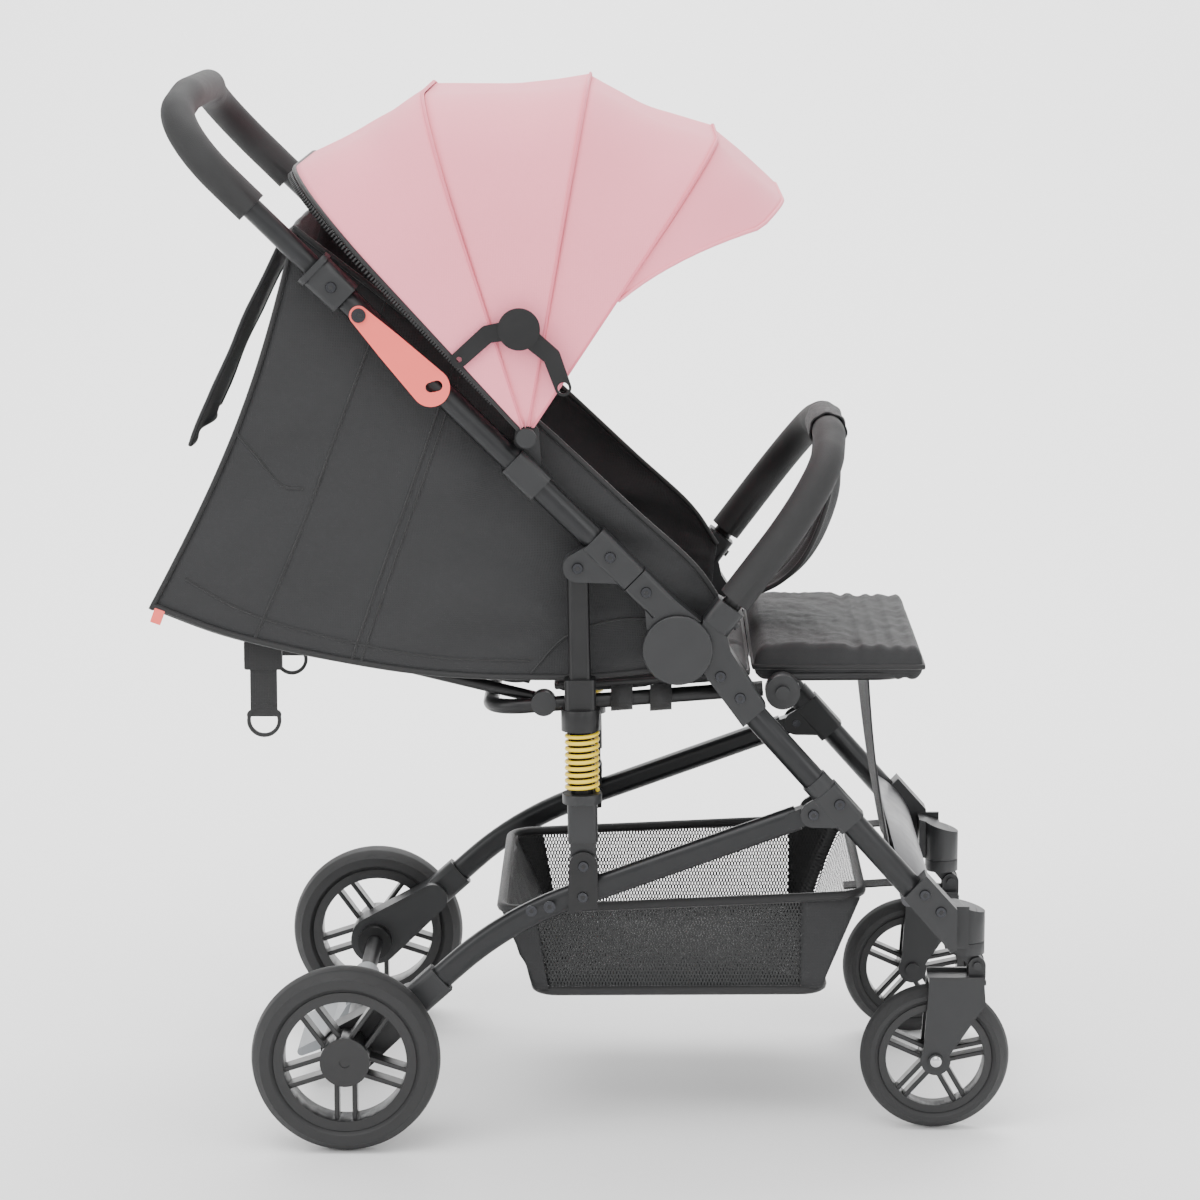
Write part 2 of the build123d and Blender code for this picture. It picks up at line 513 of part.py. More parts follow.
CLEVIS_LOW = (-1.5, 236.0)
CLEVIS_R = 13.4
CLEVIS_GAP = LEG_WIDTH / 2 + SEAT_GAP
with BuildPart() as clevises:
    for inner in (TRACK_Y - CLEVIS_GAP - CHEEK_THICKNESS, TRACK_Y + CLEVIS_GAP):
        add_hull([(POST_FOOT, CLEVIS_R), ((CLEVIS_LOW[0], CLEVIS_LOW[1] + 1.0), CLEVIS_R)],
                 -inner, CHEEK_THICKNESS)
        add_plate([(-15.0, 240.0), (-15.0, 220.0), (12.0, 226.0), (12.5, 246.0)], -inner, CHEEK_THICKNESS,
                  corner=1.5)
    bores([POST_FOOT, CLEVIS_LOW], PIVOT_PIN_R + SEAT_GAP)
    mirror(about=Plane.XZ)
finish(clevises, "clevises")

STUD = (-32.0, 228.0)
LEG_OUTER = TRACK_Y + LEG_WIDTH / 2
CLEVIS_OUTER = TRACK_Y + CLEVIS_GAP + CHEEK_THICKNESS
with BuildPart() as rear_leg_rivets:
    add_bolts([POST_FOOT, CLEVIS_LOW], -CLEVIS_OUTER)
    for point in (POST_FOOT, CLEVIS_LOW):
        add_disc(point, PIVOT_PIN_R, -(CLEVIS_OUTER - CHEEK_THICKNESS), CHEEK_THICKNESS)
    add_disc((-49.0, 222.0), BOLT_HEAD_R, -LEG_OUTER, 1.6)
    add_disc(STUD, STUD_NECK_R, -LEG_OUTER, LEVER_INNER + LEVER_THICKNESS + 0.4 - LEG_OUTER)
    add_disc(STUD, STUD_NECK_R + 1.0, -LEG_OUTER, LEVER_INNER - LEG_OUTER - 0.5)
    add_disc(STUD, BOLT_HEAD_R + 0.3, -(LEVER_INNER + LEVER_THICKNESS + 0.4), 1.8)
    mirror(about=Plane.XZ)
finish(rear_leg_rivets, "rear_leg_rivets")

HOUSING_INNER = 183.0
HOUSING_OUTER = 212.5
SLEEVE_ANGLE = math.degrees(math.atan2(LEG_END[1] - LEG_BEND[1], LEG_END[0] - LEG_BEND[0]))
DRUM_R = 25.0
with BuildPart() as rear_housings:
    add_bar(LEG_END, SLEEVE_ANGLE, -26.0, 24.0, LEG_HEIGHT + 7.0, LEG_WIDTH + 5.0, -TRACK_Y, corner=6.0)
    add_hull([(along(LEG_END, SLEEVE_ANGLE, 12.0), 15.0), (REAR_AXLE, DRUM_R)], -HOUSING_INNER,
             HOUSING_OUTER - HOUSING_INNER)
    add_bar(LEG_END, SLEEVE_ANGLE, -30.0, SEAT_GAP, LEG_HEIGHT + 2 * SEAT_GAP, LEG_WIDTH + 2 * SEAT_GAP,
            -TRACK_Y, corner=LEG_WIDTH / 2 - 0.6, mode=Mode.SUBTRACT)
    bores([REAR_AXLE], REAR_AXLE_R + SEAT_GAP)
    mirror(about=Plane.XZ)
finish(rear_housings, "rear_housings")

AXLE_TUBE_R = 8.0
BOOT_R = 17.0
AXLE_LENGTH = REAR_WHEEL_Y + REAR_WHEEL_WIDTH / 2 - 5.6
with BuildPart() as rear_axle:
    add_disc(REAR_AXLE, REAR_AXLE_R, AXLE_LENGTH, 2 * AXLE_LENGTH)
    add_disc(REAR_AXLE, AXLE_TUBE_R, HOUSING_INNER, 2 * HOUSING_INNER)
    for start, thickness in ((HOUSING_INNER, 12.0), (-HOUSING_INNER + 12.0, 12.0)):
        add_disc(REAR_AXLE, BOOT_R, start, thickness)
finish(rear_axle, "rear_axle")

PEDAL_TIP = (-276.0, 42.0)
PEDAL_HALF = 62.0
with BuildPart() as brake_pedal:
    add_disc(REAR_AXLE, AXLE_TUBE_R + 5.0, PEDAL_HALF - 8.0, 2 * (PEDAL_HALF - 8.0))
    add_hull([((-225.0, 82.0), 9.0), ((-244.0, 56.0), 6.0), (PEDAL_TIP, 4.0)], PEDAL_HALF, 2 * PEDAL_HALF)
    bores([REAR_AXLE], AXLE_TUBE_R + PIN_GAP)
finish(brake_pedal, "brake_pedal")

# ---------------------------------------------------------------- wheels


def wheel_section(axle, y):
    """Section plane of a wheel: local x is the radius, local y the axle's direction."""
    return Plane(origin=at(axle, y), x_dir=(1, 0, 0), z_dir=(0, 0, 1))


def make_tyre(name, axle, y, radius, rim_r, width):
    """Solid foam tyre with rounded shoulders."""
    with BuildPart() as tyre:
        with BuildSketch(wheel_section(axle, y)):
            with BuildLine():
                half = width / 2
                Polyline((rim_r + SEAT_GAP, half - 3.0), (rim_r + SEAT_GAP, -half + 3.0),
                         (rim_r + 4.0, -half), (radius - 9.0, -half), (radius - 2.0, -half + 8.0),
                         (radius, 0), (radius - 2.0, half - 8.0), (radius - 9.0, half),
                         (rim_r + 4.0, half), (rim_r + SEAT_GAP, half - 3.0))
            make_face()
        revolve(axis=Axis(at(axle, y), (0, 1, 0)), revolution_arc=360)
        shoulders = tyre.edges().filter_by(GeomType.CIRCLE)
        fillet([edge for edge in shoulders if radius - 3.0 < edge.radius < radius - 1.0], 5.0)
    finish(tyre, name)


def make_rim(name, axle, y, rim_r, opening_r, hub_r, width, bore, outward, first_spoke, cap_r):
    """Spoked rim: a ring, a hub with its cap, and pairs of thin spokes between them."""
    half = width / 2
    with BuildPart() as rim:
        with BuildSketch(wheel_section(axle, y)):
            with Locations(((rim_r + opening_r) / 2, 0)):
                Rectangle(rim_r - opening_r, width - 5.0)
            with Locations((hub_r / 2, 0)):
                Rectangle(hub_r, width - 1.0)
        revolve(axis=Axis(at(axle, y), (0, 1, 0)), revolution_arc=360)
        for turn in range(SPOKE_PAIRS):
            angle = first_spoke + turn * 360.0 / SPOKE_PAIRS
            for shift in (-1, 1):
                start = along(axle, angle, hub_r - 4.0, shift * hub_r * 0.36)
                with BuildSketch(Plane(origin=at(start, y), x_dir=(0, 1, 0), z_dir=direction(angle))):
                    RectangleRounded(width * 0.55, 4.4, 1.6)
                extrude(amount=opening_r - hub_r + 6.0)
        add_disc(axle, bore, 400.0, 800.0, mode=Mode.SUBTRACT)
        if cap_r:
            add_disc(axle, cap_r, y + outward * (half - 3.5) + 1.75, 3.5)
    finish(rim, name)


for name, hand in (("right", RIGHT), ("left", LEFT)):
    make_tyre(f"rear_tyre_{name}", REAR_AXLE, hand * REAR_WHEEL_Y, REAR_WHEEL_R, REAR_RIM_R, REAR_WHEEL_WIDTH)
    make_rim(f"rear_rim_{name}", REAR_AXLE, hand * REAR_WHEEL_Y, REAR_RIM_R, REAR_RIM_OPENING_R, REAR_HUB_R,
             REAR_WHEEL_WIDTH, REAR_AXLE_R + PIN_GAP, hand, 270.0, REAR_HUB_R * 0.66)
    make_tyre(f"front_tyre_{name}", FRONT_AXLE, hand * FRONT_WHEEL_Y, FRONT_WHEEL_R, FRONT_RIM_R,
              FRONT_WHEEL_WIDTH)
    make_rim(f"front_rim_{name}", FRONT_AXLE, hand * FRONT_WHEEL_Y, FRONT_RIM_R, FRONT_RIM_OPENING_R,
             FRONT_HUB_R, FRONT_WHEEL_WIDTH, FRONT_AXLE_R + PIN_GAP, hand, 12.0, 0.0)

# ---------------------------------------------------------------- casters and forks
YOKE_BOTTOM = 153.0
LUG_HALF = 8.0
FORK_EAR = 4.0
FORK_INNER = FRONT_WHEEL_WIDTH / 2 + 1.0
FORK_OUTER = FORK_INNER + FORK_PLATE
for name, hand in (("right", RIGHT), ("left", LEFT)):
    wheel_y = hand * FRONT_WHEEL_Y
    with BuildPart() as caster:
        add_rod(Vector(CASTER_X, wheel_y, 170.0), Vector(CASTER_X, wheel_y, HOUSING_BOTTOM - CLEARANCE),
                CASTER_R)
        add_rod(Vector(CASTER_X, wheel_y, 170.0), Vector(CASTER_X, wheel_y, STEM_TOP - 1.0), CASTER_STEM_R)
        add_hull([(FORK_PIVOT, 7.0), ((CASTER_X - 4.0, 174.0), 6.0)], wheel_y + LUG_HALF, 2 * LUG_HALF)
        bores([FORK_PIVOT], PIVOT_PIN_R + PIN_GAP)
    finish(caster, f"caster_{name}")

    with BuildPart() as fork:
        for y in (wheel_y + FORK_OUTER, wheel_y - FORK_INNER):
            add_plate([(321.0, 143.0), (321.0, 150.5), (372.0, 150.5), (374.0, 124.0), (340.0, 74.0),
                       (316.0, 74.0)], y, FORK_PLATE)
            add_disc(FRONT_AXLE, 14.0, y, FORK_PLATE)
        add_plate([(321.0, 143.0), (321.0, 147.0), (374.0, 147.0), (374.0, 143.0)], wheel_y + FORK_OUTER,
                  2 * FORK_OUTER)
        for y in (wheel_y + LUG_HALF + CLEARANCE + FORK_EAR, wheel_y - LUG_HALF - CLEARANCE):
            add_hull([(FORK_PIVOT, 8.0), ((366.0, 150.0), 8.0)], y, FORK_EAR)
        add_disc(FORK_PIVOT, PIVOT_PIN_R, wheel_y + LUG_HALF + CLEARANCE + FORK_EAR + 3.0,
                 2 * (LUG_HALF + CLEARANCE + FORK_EAR + 3.0))
        add_disc(FRONT_AXLE, FRONT_AXLE_R, wheel_y + FORK_OUTER + 2.0, 2 * FORK_OUTER + 4.0)
        for y in (wheel_y + FORK_OUTER + 3.5, wheel_y - FORK_OUTER):
            add_disc(FRONT_AXLE, 7.0, y, 3.5)
    finish(fork, f"fork_{name}")

# ---------------------------------------------------------------- posts
POST_ANGLE = math.degrees(math.atan2(POST_FOOT[1] - POST_TOP[1], POST_FOOT[0] - POST_TOP[0]))
POST_LENGTH = math.hypot(POST_FOOT[0] - POST_TOP[0], POST_FOOT[1] - POST_TOP[1])
POST_SECTION_END = 240.0
SLEEVE_TOP = SPRING_BOTTOM + 1.0
SLEEVE_CAVITY_END = 254.4
FOOT_START = 256.4
SPRING_SEAT_R = 18.0


def post_at(distance):
    """Space point on the right post's axis at a distance below its top pivot."""
    return at(along(POST_TOP, POST_ANGLE, distance), -TRACK_Y)


with BuildPart() as post_upper:
    add_bar(POST_TOP, POST_ANGLE, 0.0, POST_SECTION_END, POST_TUBE[0], POST_TUBE[1], -TRACK_Y, corner=4.0)
    add_disc(POST_TOP, POST_RADIUS, -(TRACK_Y - POST_TUBE[1] / 2), POST_TUBE[1])
    add_bar(POST_TOP, POST_ANGLE, 104.0, SPRING_TOP - 20.0, 28.5, 24.0, -TRACK_Y, corner=5.0)
    add_rod(post_at(SPRING_TOP - 20.0), post_at(SPRING_TOP), SPRING_SEAT_R)
    bores([POST_TOP], PIVOT_PIN_R + PIN_GAP)
    mirror(about=Plane.XZ)
finish(post_upper, "post_upper")

with BuildPart() as post_lower:
    add_rod(post_at(SPRING_BOTTOM), post_at(SPRING_BOTTOM + 9.0), SPRING_SEAT_R + 0.2)
    add_bar(POST_TOP, POST_ANGLE, SPRING_BOTTOM + 9.0, FOOT_START, POST_SLEEVE[0], POST_SLEEVE[1], -TRACK_Y,
            corner=4.5)
    add_bar(POST_TOP, POST_ANGLE, SPRING_BOTTOM - 1.0, SLEEVE_CAVITY_END, POST_SLEEVE_BORE[0],
            POST_SLEEVE_BORE[1], -TRACK_Y, corner=4.2, mode=Mode.SUBTRACT)
    add_bar(POST_TOP, POST_ANGLE, FOOT_START, POST_LENGTH, 24.0, POST_TUBE[1], -TRACK_Y, corner=1.0)
    add_disc(POST_FOOT, 12.0, -(TRACK_Y - POST_TUBE[1] / 2), POST_TUBE[1])
    bores([POST_FOOT], PIVOT_PIN_R + 2 * CLEARANCE)
    mirror(about=Plane.XZ)
finish(post_lower, "post_lower")

SPRING_HEIGHT = SPRING_BOTTOM - SPRING_TOP - 2 * SPRING_WIRE_R - 1.4
with BuildPart() as springs:
    spring_plane = Plane(origin=post_at(SPRING_BOTTOM - SPRING_WIRE_R - 0.5), x_dir=(0, 1, 0),
                         z_dir=-direction(POST_ANGLE))
    with BuildLine(spring_plane) as coil:
        Helix(SPRING_HEIGHT / SPRING_TURNS, SPRING_HEIGHT, SPRING_R)
    with BuildSketch(Plane(origin=coil.line @ 0, z_dir=coil.line % 0)):
        Circle(SPRING_WIRE_R)
    sweep(path=coil.line, is_frenet=True)
    mirror(about=Plane.XZ)
finish(springs, "springs")

# ---------------------------------------------------------------- seat
SEAT_HALF = 178.5
SEAT_BACK_X = -24.0
SEAT_FRONT_X = 150.0
PAD_ABOVE = SEAT_TUBE_R + 0.3
with BuildPart() as seat_pad:
    add_plate([(SEAT_BACK_X, seat_axis(SEAT_BACK_X) + PAD_ABOVE),
               (SEAT_FRONT_X, seat_axis(SEAT_FRONT_X) + PAD_ABOVE),
               (SEAT_FRONT_X, seat_axis(SEAT_FRONT_X) + PAD_ABOVE + PAD_THICKNESS),
               (SEAT_BACK_X, seat_axis(SEAT_BACK_X) + PAD_ABOVE + PAD_THICKNESS)], SEAT_HALF, 2 * SEAT_HALF)
finish(seat_pad, "seat_pad")

PAD_TOP = PAD_ABOVE + PAD_THICKNESS + SEAT_GAP
BUCKLE = (58.0, 476.0)
with BuildPart() as harness_buckle:
    strap_base = (72.0, seat_axis(72.0) + PAD_TOP)
    add_plate([strap_base, (strap_base[0] + 3.0, strap_base[1] + 0.3), (BUCKLE[0] + 3.0, BUCKLE[1]), BUCKLE],
              19.0, 38.0)
    add_bar(BUCKLE, 108.0, -16.0, 26.0, 13.0, 48.0, 0.0, corner=5.0)
finish(harness_buckle, "harness_buckle")

BACK_ANGLE = math.degrees(math.atan2(BACK_HEAD[1] - BACK_HINGE[1], BACK_HEAD[0] - BACK_HINGE[0]))
BACK_TUBE_END = along(BACK_HINGE, BACK_ANGLE, 246.0)
with BuildPart() as backrest_tube:
    with BuildLine() as back_line:
        back_tube_start = along(BACK_HINGE, BACK_ANGLE, 5.0)
        FilletPolyline(at(back_tube_start, -BACK_TUBE_Y), at(BACK_TUBE_END, -BACK_TUBE_Y),
                       at(BACK_TUBE_END, BACK_TUBE_Y), at(back_tube_start, BACK_TUBE_Y), radius=40.0)
    add_swept_ring(back_line.line, BACK_TUBE_R, 0.0)
    for y in (KNOB_INNER - CLEARANCE, -BACK_TUBE_Y + BACK_TUBE_R + 1.0):
        add_disc(BACK_HINGE, 9.0, y, KNOB_INNER - CLEARANCE - BACK_TUBE_Y + BACK_TUBE_R + 1.0)
    bores([BACK_HINGE], HINGE_PIN_R + PIN_GAP)
finish(backrest_tube, "backrest_tube")

BACK_PAD_HALF = 168.0
BACK_PAD_START = 16.0
ABOVE_BACK_TUBE = BACK_TUBE_R + 0.3


def back_point(distance, height):
    """Side-view point along the backrest from its hinge, and above its tube's axis."""
    return along(BACK_HINGE, BACK_ANGLE, distance, -height)


with BuildPart() as backrest_pad:
    add_plate([back_point(BACK_PAD_START, ABOVE_BACK_TUBE), back_point(BACK_PAD_LENGTH, ABOVE_BACK_TUBE),
               back_point(BACK_PAD_LENGTH, ABOVE_BACK_TUBE + BACK_PAD_THICKNESS),
               back_point(BACK_PAD_START + 14.0, ABOVE_BACK_TUBE + BACK_PAD_THICKNESS)],
              BACK_PAD_HALF, 2 * BACK_PAD_HALF)
finish(backrest_pad, "backrest_pad")

HEAD_LENGTH = 100.0
with BuildPart() as backrest_head:
    add_plate([back_point(BACK_PAD_LENGTH + 0.4, 0.0), back_point(BACK_PAD_LENGTH + HEAD_LENGTH, 4.0),
               back_point(BACK_PAD_LENGTH + HEAD_LENGTH - 4.0, 26.0),
               back_point(BACK_PAD_LENGTH + 0.4, 26.0)],
              BACK_PAD_HALF - 4.0, 2 * BACK_PAD_HALF - 8.0)
finish(backrest_head, "backrest_head")

STRAP_Y = 150.0
WEBBING = 25.0
WEBBING_THICKNESS = 2.0
STRAP_HANG = 80.0
with BuildPart() as recline_strap:
    strap_top = back_point(268.0, -1.0)
    with BuildSketch(side(STRAP_Y)):
        with Locations((strap_top[0], strap_top[1] - STRAP_HANG / 2 - 0.5)):
            Rectangle(WEBBING, STRAP_HANG)
    extrude(amount=WEBBING_THICKNESS)
    with BuildSketch(side(STRAP_Y + 4.0)):
        with Locations((strap_top[0], strap_top[1] - 22.0)):
            RectangleRounded(35.0, 27.0, 2.0)
    extrude(amount=10.0)
    with BuildSketch(side(STRAP_Y + 0.5)):
        with Locations((strap_top[0], strap_top[1] - STRAP_HANG + 1.0)):
            SlotOverall(32.0, 9.0)
        with Locations((strap_top[0], strap_top[1] - STRAP_HANG - 4.0)):
            Circle(16.0)
            Circle(12.5, mode=Mode.SUBTRACT)
    extrude(amount=3.0)
    mirror(about=Plane.XZ)
finish(recline_strap, "recline_strap")

PANEL_Y = 179.4
FABRIC = 2.0
FABRIC_TOP_REAR = (-262.0, 850.0)
FABRIC_SHOULDER = (-318.0, 665.0)
with BuildPart() as seat_fabric:
    for y in (PANEL_Y + FABRIC, -PANEL_Y):
        add_plate([FABRIC_TOP_REAR, (-36.0, 668.0), (126.0, 516.0), (132.0, 452.0), (20.0, 434.0),
                   (-170.0, 438.0), (-300.0, 466.0), BACK_HEAD, FABRIC_SHOULDER], y, FABRIC)
    add_plate([FABRIC_TOP_REAR, FABRIC_SHOULDER, BACK_HEAD, (BACK_HEAD[0] + 2.2, BACK_HEAD[1]),
               (FABRIC_SHOULDER[0] + 2.1, FABRIC_SHOULDER[1]),
               (FABRIC_TOP_REAR[0] + 2.1, FABRIC_TOP_REAR[1])],
              PANEL_Y, 2 * PANEL_Y)
finish(seat_fabric, "seat_fabric")

# ---------------------------------------------------------------- leg rest
FOOT_HALF = 150.0
FOOT_TUBE_R = 5.0
FOOT_TUBE_Y = 143.0
FOOT_FRAME_END = (300.0, 431.0)
FOOT_DISC_OUTER = KNOB_INNER - CLEARANCE
with BuildPart() as leg_rest_frame:
    with BuildLine() as foot_line:
        FilletPolyline(at((188.0, 430.0), -FOOT_TUBE_Y), at(FOOT_FRAME_END, -FOOT_TUBE_Y),
                       at(FOOT_FRAME_END, FOOT_TUBE_Y), at((188.0, 430.0), FOOT_TUBE_Y), radius=30.0)
    add_swept_ring(foot_line.line, FOOT_TUBE_R, 0.0)
    for y in (FOOT_DISC_OUTER, -FOOT_TUBE_Y + 5.0):
        add_disc(FOOT_HINGE, 13.0, y, FOOT_DISC_OUTER - FOOT_TUBE_Y + 5.0)
    bores([FOOT_HINGE], HINGE_PIN_R + PIN_GAP)
finish(leg_rest_frame, "leg_rest_frame")

with BuildPart() as leg_rest_pad:
    add_plate([(156.0, 437.0), (312.0, 436.4), (312.0, 452.0), (300.0, 457.0), (160.0, 457.0)],
              FOOT_HALF, 2 * FOOT_HALF, corner=1.0)
    add_rod(at((150.0, 430.0), -FOOT_TUBE_Y), at((320.0, 431.0), -FOOT_TUBE_Y), FOOT_TUBE_R + 0.3,
            mode=Mode.SUBTRACT)
    add_rod(at((150.0, 430.0), FOOT_TUBE_Y), at((320.0, 431.0), FOOT_TUBE_Y), FOOT_TUBE_R + 0.3,
            mode=Mode.SUBTRACT)
finish(leg_rest_pad, "leg_rest_pad")

CALF_HALF = 130.0
with BuildPart() as calf_cloth:
    add_plate([(262.0, 436.0), (291.6, 229.6), (STRUT[0] - STRUT_R - 0.3, 229.6), (263.6, 436.0)],
              CALF_HALF, 2 * CALF_HALF)
finish(calf_cloth, "calf_cloth")

# ---------------------------------------------------------------- bumper bar
BUMPER_CORNER = along(SOCKET_BASE, BUMPER_ANGLE, 166.0)
BUMPER_CROSS = (228.0, 645.0)
FOAM_START = 30.0


def bumper_path(start):
    """U-shaped run of the bumper bar from a start point on the right side to the left side."""
    right = [at(start, -TRACK_Y), at(BUMPER_CORNER, -TRACK_Y), at(BUMPER_CROSS, -70)]
    left = [Vector(p.X, -p.Y, p.Z) for p in reversed(right)]
    return FilletPolyline(*right, *left, radius=[95.0, 140.0, 140.0, 95.0])


with BuildPart() as bumper_tube:
    with BuildLine() as bumper_line:
        bumper_path(along(SOCKET_BASE, BUMPER_ANGLE, 5.0))
    add_swept_ring(bumper_line.line, BUMPER_TUBE_R, BUMPER_TUBE_R - 1.5)
finish(bumper_tube, "bumper_tube")

with BuildPart() as bumper_foam:
    with BuildLine() as foam_line:
        bumper_path(along(SOCKET_BASE, BUMPER_ANGLE, FOAM_START))
    add_swept_ring(foam_line.line, BUMPER_FOAM_R, BUMPER_TUBE_R + SEAT_GAP)
finish(bumper_foam, "bumper_foam")

WRAP_HALF = 42.0
WRAP_R = BUMPER_FOAM_R + 0.4
with BuildPart() as crotch_flap:
    with BuildSketch(side(WRAP_HALF)):
        with Locations(BUMPER_CROSS):
            Circle(WRAP_R + 2.5)
            Circle(WRAP_R, mode=Mode.SUBTRACT)
    extrude(amount=2 * WRAP_HALF)
    with BuildSketch(side(WRAP_HALF + 8.0)):
        with BuildLine():
            ThreePointArc((236.0, 626.5), (216.0, 536.0), (150.0, 478.0))
            Line((150.0, 478.0), (148.5, 480.0))
            ThreePointArc((148.5, 480.0), (213.6, 537.0), (233.4, 628.0))
            Line((233.4, 628.0), (236.0, 626.5))
        make_face()
    extrude(amount=2 * WRAP_HALF + 16.0)
finish(crotch_flap, "crotch_flap")

# ---------------------------------------------------------------- canopy
CANOPY_AXIS = Axis(at(CANOPY_PIVOT, 0), (0, -1, 0))
BOW_WIDTH = 8.0
BOW_THICKNESS = 2.6
BOW_STEP = 3.6
BOW_INSET = 10.4
EYELET_R = 10.0
BRACE_REACH = 93.0
BRACE_FRONT_REACH = 57.0
BRACE_REAR = along(CANOPY_PIVOT, 130.0, BRACE_REACH)
BRACE_FRONT = along(CANOPY_PIVOT, 54.0, BRACE_FRONT_REACH)
BRACE_DISC = (-58.0, 762.0)


def canopy_plane(angle):
    """Plane through the canopy's pivot axis: local x is the radius, local y runs across."""
    a = math.radians(angle)
    return Plane(origin=at(CANOPY_PIVOT, 0), x_dir=(math.cos(a), 0, math.sin(a)),
                 z_dir=(-math.sin(a), 0, math.cos(a)))


def bow_outline(inset, thickness, start):
    """U-shaped band about the pivot axis: flat sides, round corners and a flat top."""
    with BuildSketch() as band:
        for shrink, mode in ((inset, Mode.ADD), (inset + thickness, Mode.SUBTRACT)):
            half = CANOPY_HALF_WIDTH - shrink
            reach = CANOPY_R - shrink
            with BuildLine():
                Polyline((start, -half), (reach - CANOPY_CORNER_R + shrink, -half))
                RadiusArc((reach - CANOPY_CORNER_R + shrink, -half),
                          (reach, -half + CANOPY_CORNER_R - shrink),
                          -(CANOPY_CORNER_R - shrink))
                Line((reach, -half + CANOPY_CORNER_R - shrink), (reach, half - CANOPY_CORNER_R + shrink))
                RadiusArc((reach, half - CANOPY_CORNER_R + shrink), (reach - CANOPY_CORNER_R + shrink, half),
                          -(CANOPY_CORNER_R - shrink))
                Polyline((reach - CANOPY_CORNER_R + shrink, half), (start, half), (start, -half))
            make_face(mode=mode)
    return band.sketch


def add_shell(index, first_angle, last_angle):
    """Canopy section between two angles, one step further in for each index, with its eyelets."""
    inset = index * CANOPY_STEP
    plane = canopy_plane(first_angle)
    revolve(plane * bow_outline(inset, CANOPY_SHELL, 8.0), axis=CANOPY_AXIS,
            revolution_arc=last_angle - first_angle)
    for y in (CANOPY_HALF_WIDTH - inset, -(CANOPY_HALF_WIDTH - inset - CANOPY_SHELL)):
        add_disc(CANOPY_PIVOT, EYELET_R, y, CANOPY_SHELL)
    bores([CANOPY_PIVOT], PIVOT_PIN_R + PIN_GAP)


def add_bow(index, angle):
    """Flat U-shaped bow on the pivots, one step further in for each index."""
    inset = BOW_INSET + index * BOW_STEP
    extrude(canopy_plane(angle) * bow_outline(inset, BOW_THICKNESS, 0.0), amount=BOW_WIDTH / 2, both=True)
    for y in (CANOPY_HALF_WIDTH - inset, -(CANOPY_HALF_WIDTH - inset - BOW_THICKNESS)):
        add_disc(CANOPY_PIVOT, 7.5, y, BOW_THICKNESS)
    bores([CANOPY_PIVOT], PIVOT_PIN_R + PIN_GAP)


RIVET_R = 2.5
BRACE_FACE = CANOPY_HALF_WIDTH + 2.0
LINK_THICKNESS = 2.6
with BuildPart() as canopy_rear_section:
    add_shell(0, BOW_1_ANGLE, REAR_EDGE_ANGLE)
    add_bow(0, REAR_EDGE_ANGLE - 2.5)
    add_bow(0, BOW_1_ANGLE + 2.0)
    rivet_length = CANOPY_SHELL + BRACE_FACE - CANOPY_HALF_WIDTH + LINK_THICKNESS + 0.2
    rivet_end = BRACE_FACE + LINK_THICKNESS + 0.2
    for rivet_start, head_start in ((-(CANOPY_HALF_WIDTH - CANOPY_SHELL), -rivet_end),
                                    (rivet_end, rivet_end + 1.8)):
        add_disc(BRACE_REAR, RIVET_R, rivet_start, rivet_length)
        add_disc(BRACE_REAR, 5.0, head_start, 1.8)
finish(canopy_rear_section, "canopy_rear_section")

with BuildPart() as canopy_mid_section:
    add_shell(1, BOW_2_ANGLE, BOW_1_ANGLE)
    add_bow(1, BOW_2_ANGLE + 2.0)
finish(canopy_mid_section, "canopy_mid_section")

FRONT_INSET = 2 * CANOPY_STEP
with BuildPart() as canopy_front_section:
    add_shell(2, BOW_3_ANGLE, BOW_2_ANGLE)
    tab_half = 7.0
    for hand in (RIGHT, LEFT):
        tab_face = CANOPY_HALF_WIDTH - FRONT_INSET
        add_hull([(BRACE_FRONT, tab_half), (along(CANOPY_PIVOT, 60.0, BRACE_FRONT_REACH), tab_half)],
                 -(tab_face - CANOPY_SHELL) if hand == RIGHT else tab_face, CANOPY_SHELL)
        pin_start = -(tab_face - CANOPY_SHELL) if hand == RIGHT else BRACE_FACE + LINK_THICKNESS
        add_disc(BRACE_FRONT, RIVET_R, pin_start, BRACE_FACE + LINK_THICKNESS - tab_face + CANOPY_SHELL)
    add_bow(2, BOW_3_ANGLE + 2.0)
finish(canopy_front_section, "canopy_front_section")

with BuildPart() as canopy_visor:
    add_shell(3, VISOR_ANGLE, BOW_3_ANGLE)
finish(canopy_visor, "canopy_visor")

with BuildPart() as brace_rear_links:
    add_hull([(BRACE_REAR, 7.5), (along(BRACE_REAR, 42.0, 34.0), 8.0), (BRACE_DISC, 9.0)], -BRACE_FACE,
             LINK_THICKNESS)
    add_disc(BRACE_DISC, 3.0, -(BRACE_FACE + LINK_THICKNESS), LINK_THICKNESS + 0.8)
    add_disc(BRACE_DISC, 19.0, -(BRACE_FACE + 2 * LINK_THICKNESS + 0.8), 2.6)
    bores([BRACE_REAR], RIVET_R + PIN_GAP)
    mirror(about=Plane.XZ)
finish(brace_rear_links, "brace_rear_links")

with BuildPart() as brace_front_links:
    add_hull([(BRACE_DISC, 9.0), (along(BRACE_DISC, -40.0, 38.0), 8.0), (BRACE_FRONT, 7.5)],
             -(BRACE_FACE + LINK_THICKNESS + 0.4), LINK_THICKNESS)
    bores([BRACE_DISC], 3.0 + PIN_GAP)
    bores([BRACE_FRONT], 5.0)
    mirror(about=Plane.XZ)
finish(brace_front_links, "brace_front_links")

